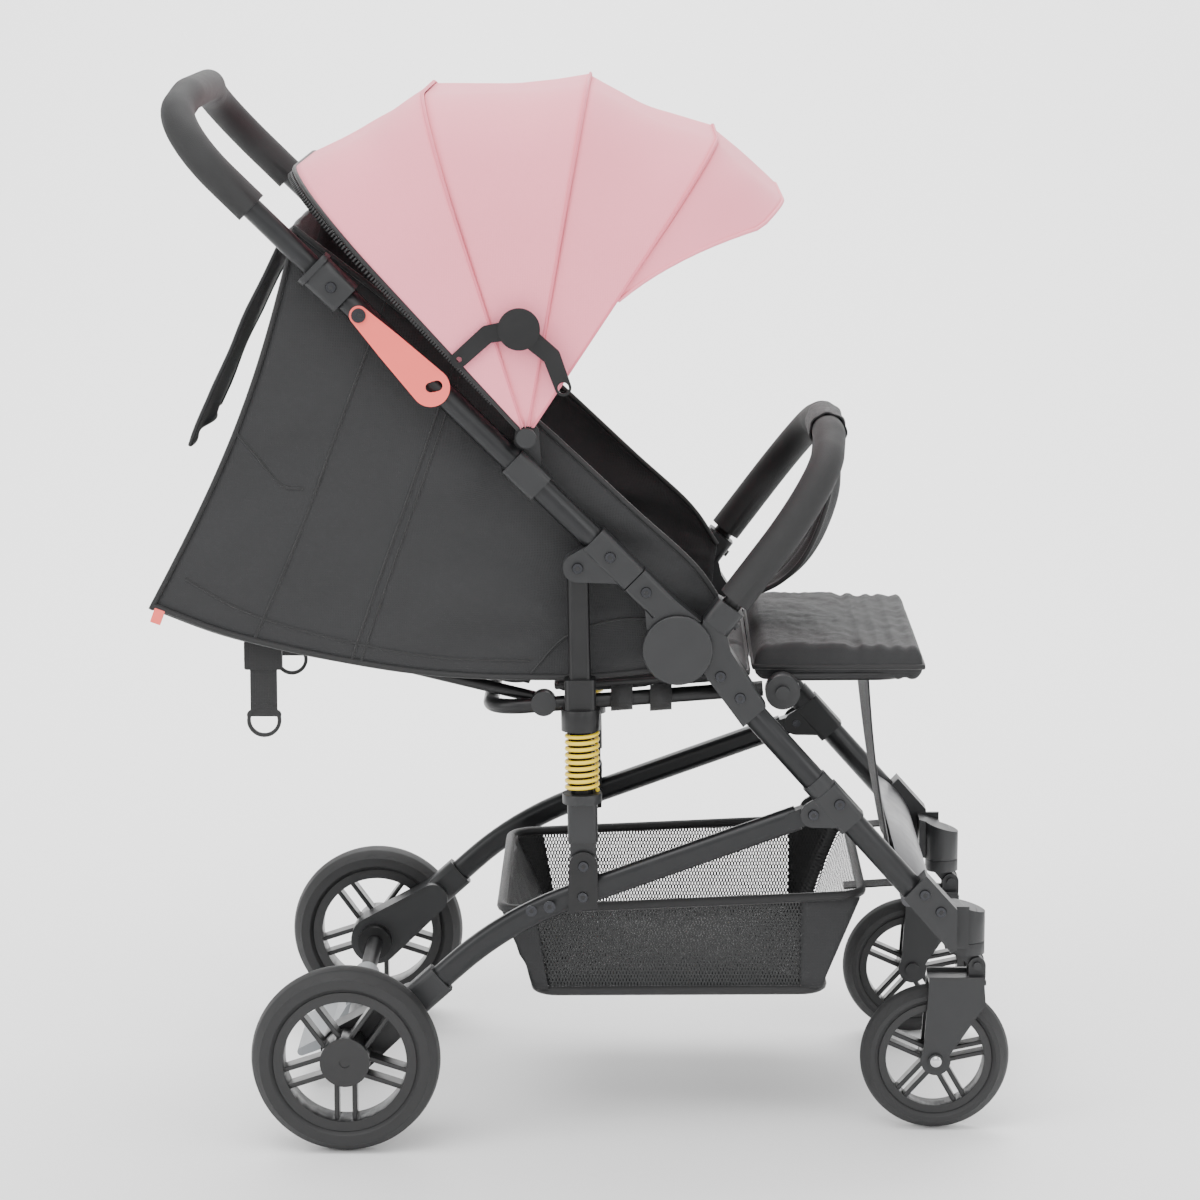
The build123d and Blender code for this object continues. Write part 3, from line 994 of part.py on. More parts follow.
# ---------------------------------------------------------------- basket
BASKET_OUTLINE = [BASKET_TOP_REAR, BASKET_BOTTOM_REAR, BASKET_BOTTOM_FRONT, BASKET_TOP_FRONT]
with BuildPart() as basket:
    add_plate(BASKET_OUTLINE, BASKET_HALF_WIDTH, 2 * BASKET_HALF_WIDTH)
    inside = [(BASKET_TOP_REAR[0] + 3.6, 260.0), (BASKET_TOP_REAR[0] + 3.6, BASKET_TOP_REAR[1]),
              (BASKET_BOTTOM_REAR[0] + 2.2, BASKET_BOTTOM_REAR[1] + BASKET_WALL),
              (BASKET_BOTTOM_FRONT[0] - 2.2, BASKET_BOTTOM_FRONT[1] + BASKET_WALL),
              (BASKET_TOP_FRONT[0] - 3.4, BASKET_TOP_FRONT[1]), (BASKET_TOP_FRONT[0] - 3.4, 260.0)]
    add_plate(inside, BASKET_HALF_WIDTH - BASKET_WALL, 2 * (BASKET_HALF_WIDTH - BASKET_WALL),
              mode=Mode.SUBTRACT)
    for y in (120.0 + WEBBING / 2, -120.0 + WEBBING / 2):
        add_plate([(BASKET_TOP_FRONT[0] - 3.0, 224.5), (BASKET_TOP_FRONT[0] - 2.6, 220.0), (292.5, 226.0),
                   (292.5, 229.0)], y, WEBBING)
finish(basket, "basket")
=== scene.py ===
import json
import logging
import math
from dataclasses import dataclass
from enum import Enum

import bpy
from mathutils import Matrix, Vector, noise


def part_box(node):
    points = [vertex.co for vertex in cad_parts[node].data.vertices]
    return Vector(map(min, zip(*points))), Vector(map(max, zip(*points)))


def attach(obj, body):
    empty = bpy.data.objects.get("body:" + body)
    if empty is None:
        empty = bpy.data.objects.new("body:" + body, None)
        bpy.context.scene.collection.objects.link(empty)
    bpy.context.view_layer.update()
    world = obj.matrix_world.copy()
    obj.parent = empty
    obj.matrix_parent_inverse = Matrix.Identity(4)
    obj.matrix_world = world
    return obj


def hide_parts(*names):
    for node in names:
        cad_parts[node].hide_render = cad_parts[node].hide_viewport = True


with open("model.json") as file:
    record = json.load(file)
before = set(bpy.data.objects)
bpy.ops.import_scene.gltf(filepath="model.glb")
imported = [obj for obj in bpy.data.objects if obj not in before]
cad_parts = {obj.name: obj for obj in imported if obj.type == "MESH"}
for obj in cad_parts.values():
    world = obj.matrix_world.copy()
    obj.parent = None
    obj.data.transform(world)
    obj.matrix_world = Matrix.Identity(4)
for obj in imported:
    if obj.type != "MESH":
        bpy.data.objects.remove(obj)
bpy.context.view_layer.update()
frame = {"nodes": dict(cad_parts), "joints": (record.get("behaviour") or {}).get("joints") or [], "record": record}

LOG = logging.getLogger("stroller")
Point2 = tuple[float, float]
Colour = tuple[float, float, float]
Rows = list[list[Vector]]


class Side(Enum):
    """Side of the stroller, as the sign of Y."""

    RIGHT = -1
    LEFT = 1


# ---------------------------------------------------------------- geometry helpers


def smooth_line(points: list[Vector], count: int) -> list[Vector]:
    """Resamples a polyline as a smooth curve through its points.

    Args:
        points: The points the curve passes through.
        count: How many points to return.

    Returns:
        Points spread evenly in the curve's parameter.
    """
    padded = [points[0] * 2 - points[1], *points, points[-1] * 2 - points[-2]]
    found = []
    for index in range(count):
        place = index / (count - 1) * (len(points) - 1)
        span = min(int(place), len(points) - 2)
        t = place - span
        a, b, c, d = padded[span : span + 4]
        found.append(
            0.5 * (2 * b + (c - a) * t + (2 * a - 5 * b + 4 * c - d) * t * t + (3 * b - a - 3 * c + d) * t**3)
        )
    return found


def make_object(name: str, vertices: list[Vector], faces: list[tuple[int, ...]]) -> bpy.types.Object:
    """Makes a smooth-shaded mesh object in the row frame.

    Args:
        name: The piece's name.
        vertices: Vertex positions in metres.
        faces: Vertex indices of each face.

    Returns:
        The new object, linked to the scene.
    """
    mesh = bpy.data.meshes.new(name)
    mesh.from_pydata([tuple(v) for v in vertices], [], faces)
    mesh.polygons.foreach_set("use_smooth", [True] * len(mesh.polygons))
    mesh.update()
    made = bpy.data.objects.new(name, mesh)
    bpy.context.scene.collection.objects.link(made)
    return made


def make_grid(name: str, rows: Rows, closed: bool = False) -> bpy.types.Object:
    """Makes a surface from rows of points.

    Args:
        name: The piece's name.
        rows: Rows of equally many points.
        closed: Whether each row joins its own start.

    Returns:
        The new surface.
    """
    width = len(rows[0])
    spans = width if closed else width - 1
    faces = [
        (r * width + c, r * width + (c + 1) % width, (r + 1) * width + (c + 1) % width, (r + 1) * width + c)
        for r in range(len(rows) - 1)
        for c in range(spans)
    ]
    return make_object(name, [p for row in rows for p in row], faces)


def make_cord(name: str, points: list[Vector], radius: float, closed: bool = False) -> bpy.types.Object:
    """Makes a round strand, such as piping or a seam, along points.

    Args:
        name: The piece's name.
        points: The line it follows, in metres.
        radius: The strand's radius.
        closed: Whether it is a loop.

    Returns:
        The new curve object.
    """
    curve = bpy.data.curves.new(name, "CURVE")
    curve.dimensions = "3D"
    curve.bevel_depth = radius
    curve.bevel_resolution = 3
    curve.use_fill_caps = True
    spline = curve.splines.new("POLY")
    spline.points.add(len(points) - 1)
    for slot, point in zip(spline.points, points):
        slot.co = (*point, 1.0)
    spline.use_cyclic_u = closed
    spline.use_smooth = True
    made = bpy.data.objects.new(name, curve)
    bpy.context.scene.collection.objects.link(made)
    return made


def make_box(name: str, centre: Vector, size: Vector, turn: float = 0.0,
             soften: float = 0.0) -> bpy.types.Object:
    """Makes a box turned about the cross axis.

    Args:
        name: The piece's name.
        centre: The box's middle.
        size: Its full size before turning.
        turn: Rotation in the side view, in radians from +X towards +Z.
        soften: Bevel width of its edges.

    Returns:
        The new box.
    """
    corners = []
    for sx, sy, sz in ((x, y, z) for x in (-1, 1) for y in (-1, 1) for z in (-1, 1)):
        x, y, z = sx * size.x / 2, sy * size.y / 2, sz * size.z / 2
        corners.append(
            centre + Vector((x * math.cos(turn) - z * math.sin(turn), y,
                             x * math.sin(turn) + z * math.cos(turn)))
        )
    faces = [(0, 1, 3, 2), (4, 6, 7, 5), (0, 4, 5, 1), (2, 3, 7, 6), (0, 2, 6, 4), (1, 5, 7, 3)]
    made = make_object(name, corners, faces)
    if soften:
        add_bevel(made, soften)
    return made


def add_bevel(obj: bpy.types.Object, width: float, segments: int = 2) -> None:
    """Rounds the sharp edges of an object.

    Args:
        obj: The object to soften.
        width: The bevel's width.
        segments: How many steps the bevel has.
    """
    bevel = obj.modifiers.new("soft_edges", "BEVEL")
    bevel.width = width
    bevel.segments = segments
    bevel.limit_method = "ANGLE"
    bevel.angle_limit = math.radians(40)
    bevel.harden_normals = True


def add_thickness(obj: bpy.types.Object, thickness: float) -> None:
    """Gives a sheet its thickness, centred on its surface.

    Args:
        obj: The sheet.
        thickness: Its full thickness.
    """
    solid = obj.modifiers.new("thickness", "SOLIDIFY")
    solid.thickness = thickness
    solid.offset = 0.0


def grid_border(rows: list[list[Vector]]) -> list[Vector]:
    """Walks once round the outside of a grid of points.

    Args:
        rows: The grid.

    Returns:
        The border's points, in order.
    """
    inner = rows[1:-1]
    return rows[0] + [r[-1] for r in inner] + rows[-1][::-1] + [r[0] for r in inner][::-1]


def side_point(point: Point2, y: float) -> Vector:
    """Row-frame point of a side-view point.

    Args:
        point: (x, z) in metres.
        y: The width.

    Returns:
        The point in space.
    """
    return Vector((point[0], y, point[1]))


# ---------------------------------------------------------------- shared shader groups


class Graph:
    """Adds and links the nodes of one node tree."""

    def __init__(self, tree: bpy.types.NodeTree) -> None:
        """Starts a graph.

        Args:
            tree: The node tree to write in.
        """
        self.tree = tree

    def add(self, kind: str, values: dict[str | int, object] | None = None,
            **settings: object) -> bpy.types.Node:
        """Adds a node, sets its options, then its constant inputs or links.

        Args:
            kind: The node's type name.
            values: Input name or index to a constant, or to a socket to link.
            **settings: Attributes of the node.

        Returns:
            The new node.
        """
        node = self.tree.nodes.new(kind)
        for name, value in settings.items():
            setattr(node, name, value)
        for key, value in (values or {}).items():
            if isinstance(value, bpy.types.NodeSocket):
                self.tree.links.new(value, node.inputs[key])
            else:
                node.inputs[key].default_value = value
        return node

    def maths(self, operation: str, *values: object) -> bpy.types.NodeSocket:
        """Adds a Math node.

        Args:
            operation: The Math node's operation.
            *values: Its inputs, constants or sockets.

        Returns:
            The result socket.
        """
        return self.add("ShaderNodeMath", dict(enumerate(values)), operation=operation).outputs[0]

    def noise(self, vector: bpy.types.NodeSocket, scale: object, detail: float = 2.0) -> bpy.types.NodeSocket:
        """Adds a noise texture.

        Args:
            vector: Where it is sampled.
            scale: Its scale, a constant or a socket.
            detail: Its octaves.

        Returns:
            The noise factor.
        """
        values = {"Vector": vector, "Scale": scale, "Detail": detail}
        return self.add("ShaderNodeTexNoise", values).outputs[0]


class SharedGroup:
    """A node group with named inputs and outputs, built once and used by many finishes."""

    name = ""
    inputs: tuple[tuple[str, str, object], ...] = ()
    outputs: tuple[str, ...] = ()

    def tree(self) -> bpy.types.NodeTree:
        """Finds or builds the group.

        Returns:
            The group's node tree.
        """
        found = bpy.data.node_groups.get(self.name)
        if found:
            return found
        made = bpy.data.node_groups.new(self.name, "ShaderNodeTree")
        made.interface.new_socket("Vector", in_out="INPUT", socket_type="NodeSocketVector")
        for name, kind, default in self.inputs:
            made.interface.new_socket(name, in_out="INPUT", socket_type=kind).default_value = default
        for name in self.outputs:
            made.interface.new_socket(name, in_out="OUTPUT", socket_type="NodeSocketFloat")
        start = made.nodes.new("NodeGroupInput")
        end = made.nodes.new("NodeGroupOutput")
        for name, socket in self.wire(Graph(made), start).items():
            made.links.new(socket, end.inputs[name])
        return made

    def wire(self, graph: Graph, start: bpy.types.Node) -> dict[str, bpy.types.NodeSocket]:
        """Adds the group's inner nodes.

        Args:
            graph: The group's graph.
            start: The group's input node.

        Returns:
            The socket that feeds each output.
        """
        raise NotImplementedError


class WeaveGroup(SharedGroup):
    """Plain weave threads with mottled yarn and soft creases, with the creases lightened as a painted highlight.
    """

    name = "WovenCloth"
    inputs = (
        ("Thread Scale", "NodeSocketFloat", 4200.0),
        ("Crease Scale", "NodeSocketFloat", 16.0),
        ("Crease Amount", "NodeSocketFloat", 0.5),
    )
    outputs = ("Height", "Shade")

    def wire(self, graph: Graph, start: bpy.types.Node) -> dict[str, bpy.types.NodeSocket]:
        """Adds threads as crossed sine waves, and creases as stretched noise.

        Args:
            graph: The group's graph.
            start: The group's input node.

        Returns:
            Height, and a shade socket that mixes the yarn's own mottling with a painted highlight on the creases.
        """
        parts = graph.add("ShaderNodeSeparateXYZ", {0: start.outputs["Vector"]}).outputs
        along = graph.maths("ADD", parts[0], parts[1])
        warp = graph.maths("SINE", graph.maths("MULTIPLY", along, start.outputs["Thread Scale"]))
        weft = graph.maths("SINE", graph.maths("MULTIPLY", graph.maths("ADD", parts[2], parts[1]),
                                               start.outputs["Thread Scale"]))
        thread = graph.maths("MAXIMUM", warp, weft)
        mottle = graph.noise(start.outputs["Vector"], 420.0, 3.0)
        crease = graph.noise(start.outputs["Vector"], start.outputs["Crease Scale"], 4.0)
        creased = graph.maths("MULTIPLY", crease, start.outputs["Crease Amount"])
        fine = graph.maths("MULTIPLY", thread, 0.03)
        height = graph.maths("ADD", graph.maths("ADD", fine, graph.maths("MULTIPLY", mottle, 0.05)), creased)
        # Painted highlight: the crease noise also lightens the colour where the creases rise, mixed with the
        # yarn's own mottling.
        shade = graph.maths("ADD", graph.maths("MULTIPLY", mottle, 0.45),
                            graph.maths("MULTIPLY", crease, 0.55))
        return {"Height": height, "Shade": shade}


class GrainGroup(SharedGroup):
    """Fine moulded grain with faint scuffs and dust."""

    name = "MouldedGrain"
    inputs = (("Grain Scale", "NodeSocketFloat", 1400.0), ("Scuff Scale", "NodeSocketFloat", 45.0))
    outputs = ("Height", "Scuff")

    def wire(self, graph: Graph, start: bpy.types.Node) -> dict[str, bpy.types.NodeSocket]:
        """Adds grain and scuff noise.

        Args:
            graph: The group's graph.
            start: The group's input node.

        Returns:
            Height and scuff sockets.
        """
        grain = graph.noise(start.outputs["Vector"], start.outputs["Grain Scale"], 2.0)
        scuff = graph.noise(start.outputs["Vector"], start.outputs["Scuff Scale"], 5.0)
        return {"Height": grain, "Scuff": graph.maths("POWER", scuff, 2.0)}


class CellsGroup(SharedGroup):
    """Closed-cell foam surface."""

    name = "FoamCells"
    inputs = (("Cell Scale", "NodeSocketFloat", 1100.0),)
    outputs = ("Height", "Shade")

    def wire(self, graph: Graph, start: bpy.types.Node) -> dict[str, bpy.types.NodeSocket]:
        """Adds small cells and slow mottling.

        Args:
            graph: The group's graph.
            start: The group's input node.

        Returns:
            Height and shade sockets.
        """
        values = {"Vector": start.outputs["Vector"], "Scale": start.outputs["Cell Scale"]}
        cells = graph.add("ShaderNodeTexVoronoi", values).outputs[0]
        return {"Height": cells, "Shade": graph.noise(start.outputs["Vector"], 60.0, 4.0)}


class TreadGroup(SharedGroup):
    """Wavy raised blocks on a tyre's sidewall and tread, around its axle."""

    name = "TreadBlocks"
    inputs = (
        ("Centre X", "NodeSocketFloat", 0.0),
        ("Centre Z", "NodeSocketFloat", 0.0),
        ("Radius", "NodeSocketFloat", 0.08),
        ("Blocks", "NodeSocketFloat", 22.0),
    )
    outputs = ("Height", "Dust")

    def wire(self, graph: Graph, start: bpy.types.Node) -> dict[str, bpy.types.NodeSocket]:
        """Compares the radius with a wave around the wheel.

        Args:
            graph: The group's graph.
            start: The group's input node.

        Returns:
            Height and dust sockets.
        """
        parts = graph.add("ShaderNodeSeparateXYZ", {0: start.outputs["Vector"]}).outputs
        dx = graph.maths("SUBTRACT", parts[0], start.outputs["Centre X"])
        dz = graph.maths("SUBTRACT", parts[2], start.outputs["Centre Z"])
        angle = graph.maths("ARCTAN2", dz, dx)
        distance = graph.maths("SQRT", graph.maths("ADD", graph.maths("MULTIPLY", dx, dx),
                                                   graph.maths("MULTIPLY", dz, dz)))
        share = graph.maths("DIVIDE", distance, start.outputs["Radius"])
        wave = graph.maths("SINE", graph.maths("MULTIPLY", angle, start.outputs["Blocks"]))
        edge = graph.maths("ADD", 0.905, graph.maths("MULTIPLY", wave, 0.022))
        block = graph.maths("GREATER_THAN", share, edge)
        groove = graph.maths("LESS_THAN", graph.maths("ABSOLUTE", graph.maths("SUBTRACT", share, edge)),
                             0.009)
        height = graph.maths("SUBTRACT", graph.maths("MULTIPLY", block, 0.6), groove)
        return {"Height": height, "Dust": graph.noise(start.outputs["Vector"], 70.0, 5.0)}


class NetGroup(SharedGroup):
    """Open net: holes in staggered rows."""

    name = "OpenNet"
    inputs = (("Hole Scale", "NodeSocketFloat", 2100.0), ("Row Scale", "NodeSocketFloat", 900.0))
    outputs = ("Cover", "Height")

    def wire(self, graph: Graph, start: bpy.types.Node) -> dict[str, bpy.types.NodeSocket]:
        """Adds crossed waves whose troughs are holes.

        Args:
            graph: The group's graph.
            start: The group's input node.

        Returns:
            Cover and height sockets.
        """
        parts = graph.add("ShaderNodeSeparateXYZ", {0: start.outputs["Vector"]}).outputs
        across = graph.maths("ADD", parts[0], parts[1])
        first = graph.maths("SINE", graph.maths("MULTIPLY", across, start.outputs["Hole Scale"]))
        second = graph.maths("SINE", graph.maths("MULTIPLY", parts[2], start.outputs["Row Scale"]))
        wave = graph.maths("MULTIPLY", first, second)
        cover = graph.maths("GREATER_THAN", 0.22, wave)
        return {"Cover": cover, "Height": wave}


# ---------------------------------------------------------------- finishes


@dataclass(frozen=True)
class Finish:
    """A surface finish with moulded grain.

    Attributes:
        name: The material's name.
        slot: The record's slot it stands for.
        colour: Base colour.
        roughness: Middle roughness.
        metallic: Metal share.
        coat: Clear coat weight.
        bump: Strength of the surface relief.
        wear_and_crease_highlight: How much the scuffs lighten the colour; on cloth it also sets how far the
            creases are lightened as a painted highlight.
    """

    name: str
    slot: str
    colour: Colour
    roughness: float
    metallic: float = 0.0
    coat: float = 0.0
    bump: float = 0.15
    wear_and_crease_highlight: float = 0.25

    def build(self) -> bpy.types.Material:
        """Finds or builds the material.

        Returns:
            The material.
        """
        found = bpy.data.materials.get(self.name)
        if found:
            return found
        made = bpy.data.materials.new(self.name)
        made.use_nodes = True
        graph = Graph(made.node_tree)
        shader = made.node_tree.nodes["Principled BSDF"]
        shader.inputs["Metallic"].default_value = self.metallic
        shader.inputs["Coat Weight"].default_value = self.coat
        shader.inputs["Coat Roughness"].default_value = 0.3
        vector = graph.add("ShaderNodeTexCoord").outputs["Object"]
        self.wire(graph, shader, vector)
        return made

    def wire(self, graph: Graph, shader: bpy.types.Node, vector: bpy.types.NodeSocket) -> None:
        """Connects the finish's own pattern.

        Args:
            graph: The material's graph.
            shader: Its surface shader.
            vector: Position in the row frame.
        """
        group = self.use(graph, GrainGroup(), {"Vector": vector})
        self.tint(graph, shader, group.outputs["Scuff"], 1.0 + 2.0 * self.wear_and_crease_highlight)
        self.roughen(graph, shader, group.outputs["Scuff"], 0.25)
        self.relief(graph, shader, group.outputs["Height"], 0.0002)

    def use(self, graph: Graph, group: SharedGroup, values: dict[str, object]) -> bpy.types.Node:
        """Adds a shared group to the material.

        Args:
            graph: The material's graph.
            group: The shared group.
            values: Its inputs.

        Returns:
            The group node.
        """
        node = graph.tree.nodes.new("ShaderNodeGroup")
        node.node_tree = group.tree()
        for key, value in values.items():
            if isinstance(value, bpy.types.NodeSocket):
                graph.tree.links.new(value, node.inputs[key])
            else:
                node.inputs[key].default_value = value
        return node

    def tint(self, graph: Graph, shader: bpy.types.Node, factor: bpy.types.NodeSocket, lift: float) -> None:
        """Mixes the base colour with a lighter one.

        Args:
            graph: The material's graph.
            shader: Its surface shader.
            factor: Where the lighter colour shows.
            lift: How much lighter it is.
        """
        mix = graph.add("ShaderNodeMix", {"Factor": factor}, data_type="RGBA")
        mix.inputs[6].default_value = (*self.colour, 1.0)
        mix.inputs[7].default_value = (*(min(1.0, c * lift + 0.004 * (lift > 1)) for c in self.colour), 1.0)
        graph.tree.links.new(mix.outputs[2], shader.inputs["Base Color"])

    def roughen(self, graph: Graph, shader: bpy.types.Node, factor: bpy.types.NodeSocket,
                spread: float) -> None:
        """Varies the roughness about its middle.

        Args:
            graph: The material's graph.
            shader: Its surface shader.
            factor: The variation, from 0 to 1.
            spread: Its full size.
        """
        spread_value = graph.maths("MULTIPLY", factor, spread)
        total = graph.maths("ADD", spread_value, self.roughness - spread / 3)
        graph.tree.links.new(total, shader.inputs["Roughness"])

    def relief(self, graph: Graph, shader: bpy.types.Node, height: bpy.types.NodeSocket,
               depth: float) -> None:
        """Adds a bump to the surface.

        Args:
            graph: The material's graph.
            shader: Its surface shader.
            height: The relief.
            depth: Its height in metres.
        """
        bump = graph.add("ShaderNodeBump", {"Strength": self.bump, "Distance": depth, "Height": height})
        graph.tree.links.new(bump.outputs[0], shader.inputs["Normal"])


@dataclass(frozen=True)
class ClothFinish(Finish):
    """Woven cloth with yarn, creases, sheen and a painted highlight that lightens the creases.

    Attributes:
        sheen: Sheen weight.
        crease: Height of the creases.
        crease_scale: Size of the creases, larger is finer.
    """

    sheen: float = 0.25
    crease: float = 0.5
    crease_scale: float = 16.0

    def wire(self, graph: Graph, shader: bpy.types.Node, vector: bpy.types.NodeSocket) -> None:
        """Connects the weave.

        Args:
            graph: The material's graph.
            shader: Its surface shader.
            vector: Position in the row frame.
        """
        shader.inputs["Sheen Weight"].default_value = self.sheen
        shader.inputs["Sheen Roughness"].default_value = 0.4
        values = {"Vector": vector, "Crease Amount": self.crease, "Crease Scale": self.crease_scale}
        group = self.use(graph, WeaveGroup(), values)
        # Painted highlight: this lift lightens the creases in the base colour, along with the yarn's own mottling.
        self.tint(graph, shader, group.outputs["Shade"], 1.0 + self.wear_and_crease_highlight)
        self.roughen(graph, shader, group.outputs["Shade"], 0.15)
        self.relief(graph, shader, group.outputs["Height"], 0.006)


@dataclass(frozen=True)
class FoamFinish(Finish):
    """Closed-cell foam."""

    def wire(self, graph: Graph, shader: bpy.types.Node, vector: bpy.types.NodeSocket) -> None:
        """Connects the cells.

        Args:
            graph: The material's graph.
            shader: Its surface shader.
            vector: Position in the row frame.
        """
        group = self.use(graph, CellsGroup(), {"Vector": vector})
        self.tint(graph, shader, group.outputs["Shade"], 1.0 + 2.0 * self.wear_and_crease_highlight)
        self.roughen(graph, shader, group.outputs["Shade"], 0.2)
        self.relief(graph, shader, group.outputs["Height"], 0.0004)


@dataclass(frozen=True)
class TyreFinish(Finish):
    """Rubber with wavy blocks around an axle.

    Attributes:
        centre: The axle in the side view.
        radius: The tyre's radius.
        blocks: How many waves go round.
    """

    centre: Point2 = (0.0, 0.0)
    radius: float = 0.08
    blocks: float = 22.0

    def wire(self, graph: Graph, shader: bpy.types.Node, vector: bpy.types.NodeSocket) -> None:
        """Connects the blocks.

        Args:
            graph: The material's graph.
            shader: Its surface shader.
            vector: Position in the row frame.
        """
        values = {"Vector": vector, "Centre X": self.centre[0], "Centre Z": self.centre[1],
                  "Radius": self.radius, "Blocks": self.blocks}
        group = self.use(graph, TreadGroup(), values)
        self.tint(graph, shader, group.outputs["Dust"], 1.0 + 2.0 * self.wear_and_crease_highlight)
        self.roughen(graph, shader, group.outputs["Dust"], 0.2)
        self.relief(graph, shader, group.outputs["Height"], 0.0045)


@dataclass(frozen=True)
class NetFinish(Finish):
    """Open net cloth.

    Attributes:
        hole_scale: Waves per metre across the holes, times two pi.
    """

    hole_scale: float = 2100.0

    def wire(self, graph: Graph, shader: bpy.types.Node, vector: bpy.types.NodeSocket) -> None:
        """Connects the net.

        Args:
            graph: The material's graph.
            shader: Its surface shader.
            vector: Position in the row frame.
        """
        group = self.use(graph, NetGroup(), {"Vector": vector, "Hole Scale": self.hole_scale})
        graph.tree.links.new(group.outputs["Cover"], shader.inputs["Alpha"])
        self.tint(graph, shader, group.outputs["Height"], 1.0 + self.wear_and_crease_highlight)
        self.relief(graph, shader, group.outputs["Height"], 0.0006)


TUBE = Finish("SatinTube", "metal_tube", (0.010, 0.0105, 0.0115), 0.34, metallic=0.3, bump=0.04, wear_and_crease_highlight=0.1)
DARK_METAL = Finish("BlackSteel", "dark_metal", (0.008, 0.008, 0.0085), 0.38, metallic=0.3, bump=0.05,
                    wear_and_crease_highlight=0.1)
PLATE = Finish("GreyPlate", "plate_metal", (0.075, 0.075, 0.08), 0.36, metallic=0.5, bump=0.05)
CASTING = Finish("CharcoalNylon", "casting", (0.0105, 0.011, 0.012), 0.46, bump=0.25, wear_and_crease_highlight=0.12)
COVER = Finish("HubCover", "cover", (0.012, 0.0125, 0.0135), 0.40, bump=0.18, wear_and_crease_highlight=0.1)
BOLT = Finish("BlackBolt", "bolt", (0.035, 0.036, 0.040), 0.28, metallic=0.8, bump=0.05)
STEEL = Finish("BrightSteel", "steel", (0.55, 0.55, 0.56), 0.25, metallic=1.0, bump=0.05)
CORAL = Finish("CoralPlate", "coral", (0.93, 0.135, 0.11), 0.42, bump=0.05, wear_and_crease_highlight=0.03)
SPRING = Finish("YellowSpring", "spring", (0.86, 0.62, 0.02), 0.35, coat=0.3, bump=0.04, wear_and_crease_highlight=0.05)
RIM = Finish("BlackRim", "rim", (0.008, 0.008, 0.0085), 0.36, bump=0.1, wear_and_crease_highlight=0.1)
PEDAL = Finish("GreyPedal", "pedal", (0.20, 0.21, 0.22), 0.5, bump=0.2)
BUCKLE = Finish("BlackBuckle", "buckle", (0.008, 0.008, 0.0085), 0.35, bump=0.12)
FOAM = FoamFinish("FoamGrip", "foam", (0.0105, 0.0105, 0.011), 0.72, bump=0.35, wear_and_crease_highlight=0.12)
SEAT_CLOTH = ClothFinish("CharcoalCloth", "seat_cloth", (0.0078, 0.0080, 0.0088), 0.66, bump=0.7, sheen=0.10,
                         crease=1.3, crease_scale=14.0, wear_and_crease_highlight=0.7)
PAD_CLOTH = ClothFinish("PadCloth", "pad_cloth", (0.0080, 0.0082, 0.0090), 0.70, bump=0.5, sheen=0.12,
                        crease=0.55, crease_scale=26.0, wear_and_crease_highlight=0.6)
PIPING = ClothFinish("BlackPiping", "seat_cloth", (0.0045, 0.0045, 0.005), 0.6, bump=0.3, crease=0.1,
                     wear_and_crease_highlight=0.3)
CANOPY_CLOTH = ClothFinish("PinkCloth", "canopy_cloth", (0.96, 0.300, 0.375), 0.78, bump=0.4, sheen=0.2,
                           crease=0.7, crease_scale=9.0, wear_and_crease_highlight=0.06)
CANOPY_SEAM = ClothFinish("PinkSeam", "canopy_cloth", (0.80, 0.20, 0.27), 0.8, bump=0.2, crease=0.1,
                          wear_and_crease_highlight=0.05)
WEBBING = ClothFinish("Webbing", "webbing", (0.007, 0.007, 0.0075), 0.66, bump=0.6, crease=0.15,
                      crease_scale=90.0, wear_and_crease_highlight=0.5)
NET = NetFinish("BasketNet", "mesh_cloth", (0.009, 0.0095, 0.010), 0.6, bump=0.3)
FINISHES = [TUBE, DARK_METAL, PLATE, CASTING, COVER, BOLT, STEEL, CORAL, SPRING, RIM, PEDAL, BUCKLE, FOAM,
            SEAT_CLOTH, PAD_CLOTH, CANOPY_CLOTH, WEBBING, NET]


def dress(obj: bpy.types.Object, finish: Finish, body: str) -> bpy.types.Object:
    """Gives a new piece its finish, slot and body.

    Args:
        obj: The new piece.
        finish: Its finish.
        body: The CAD body it moves with.

    Returns:
        The same object.
    """
    obj.data.materials.append(finish.build())
    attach(obj, body)
    return obj


# ---------------------------------------------------------------- hard parts


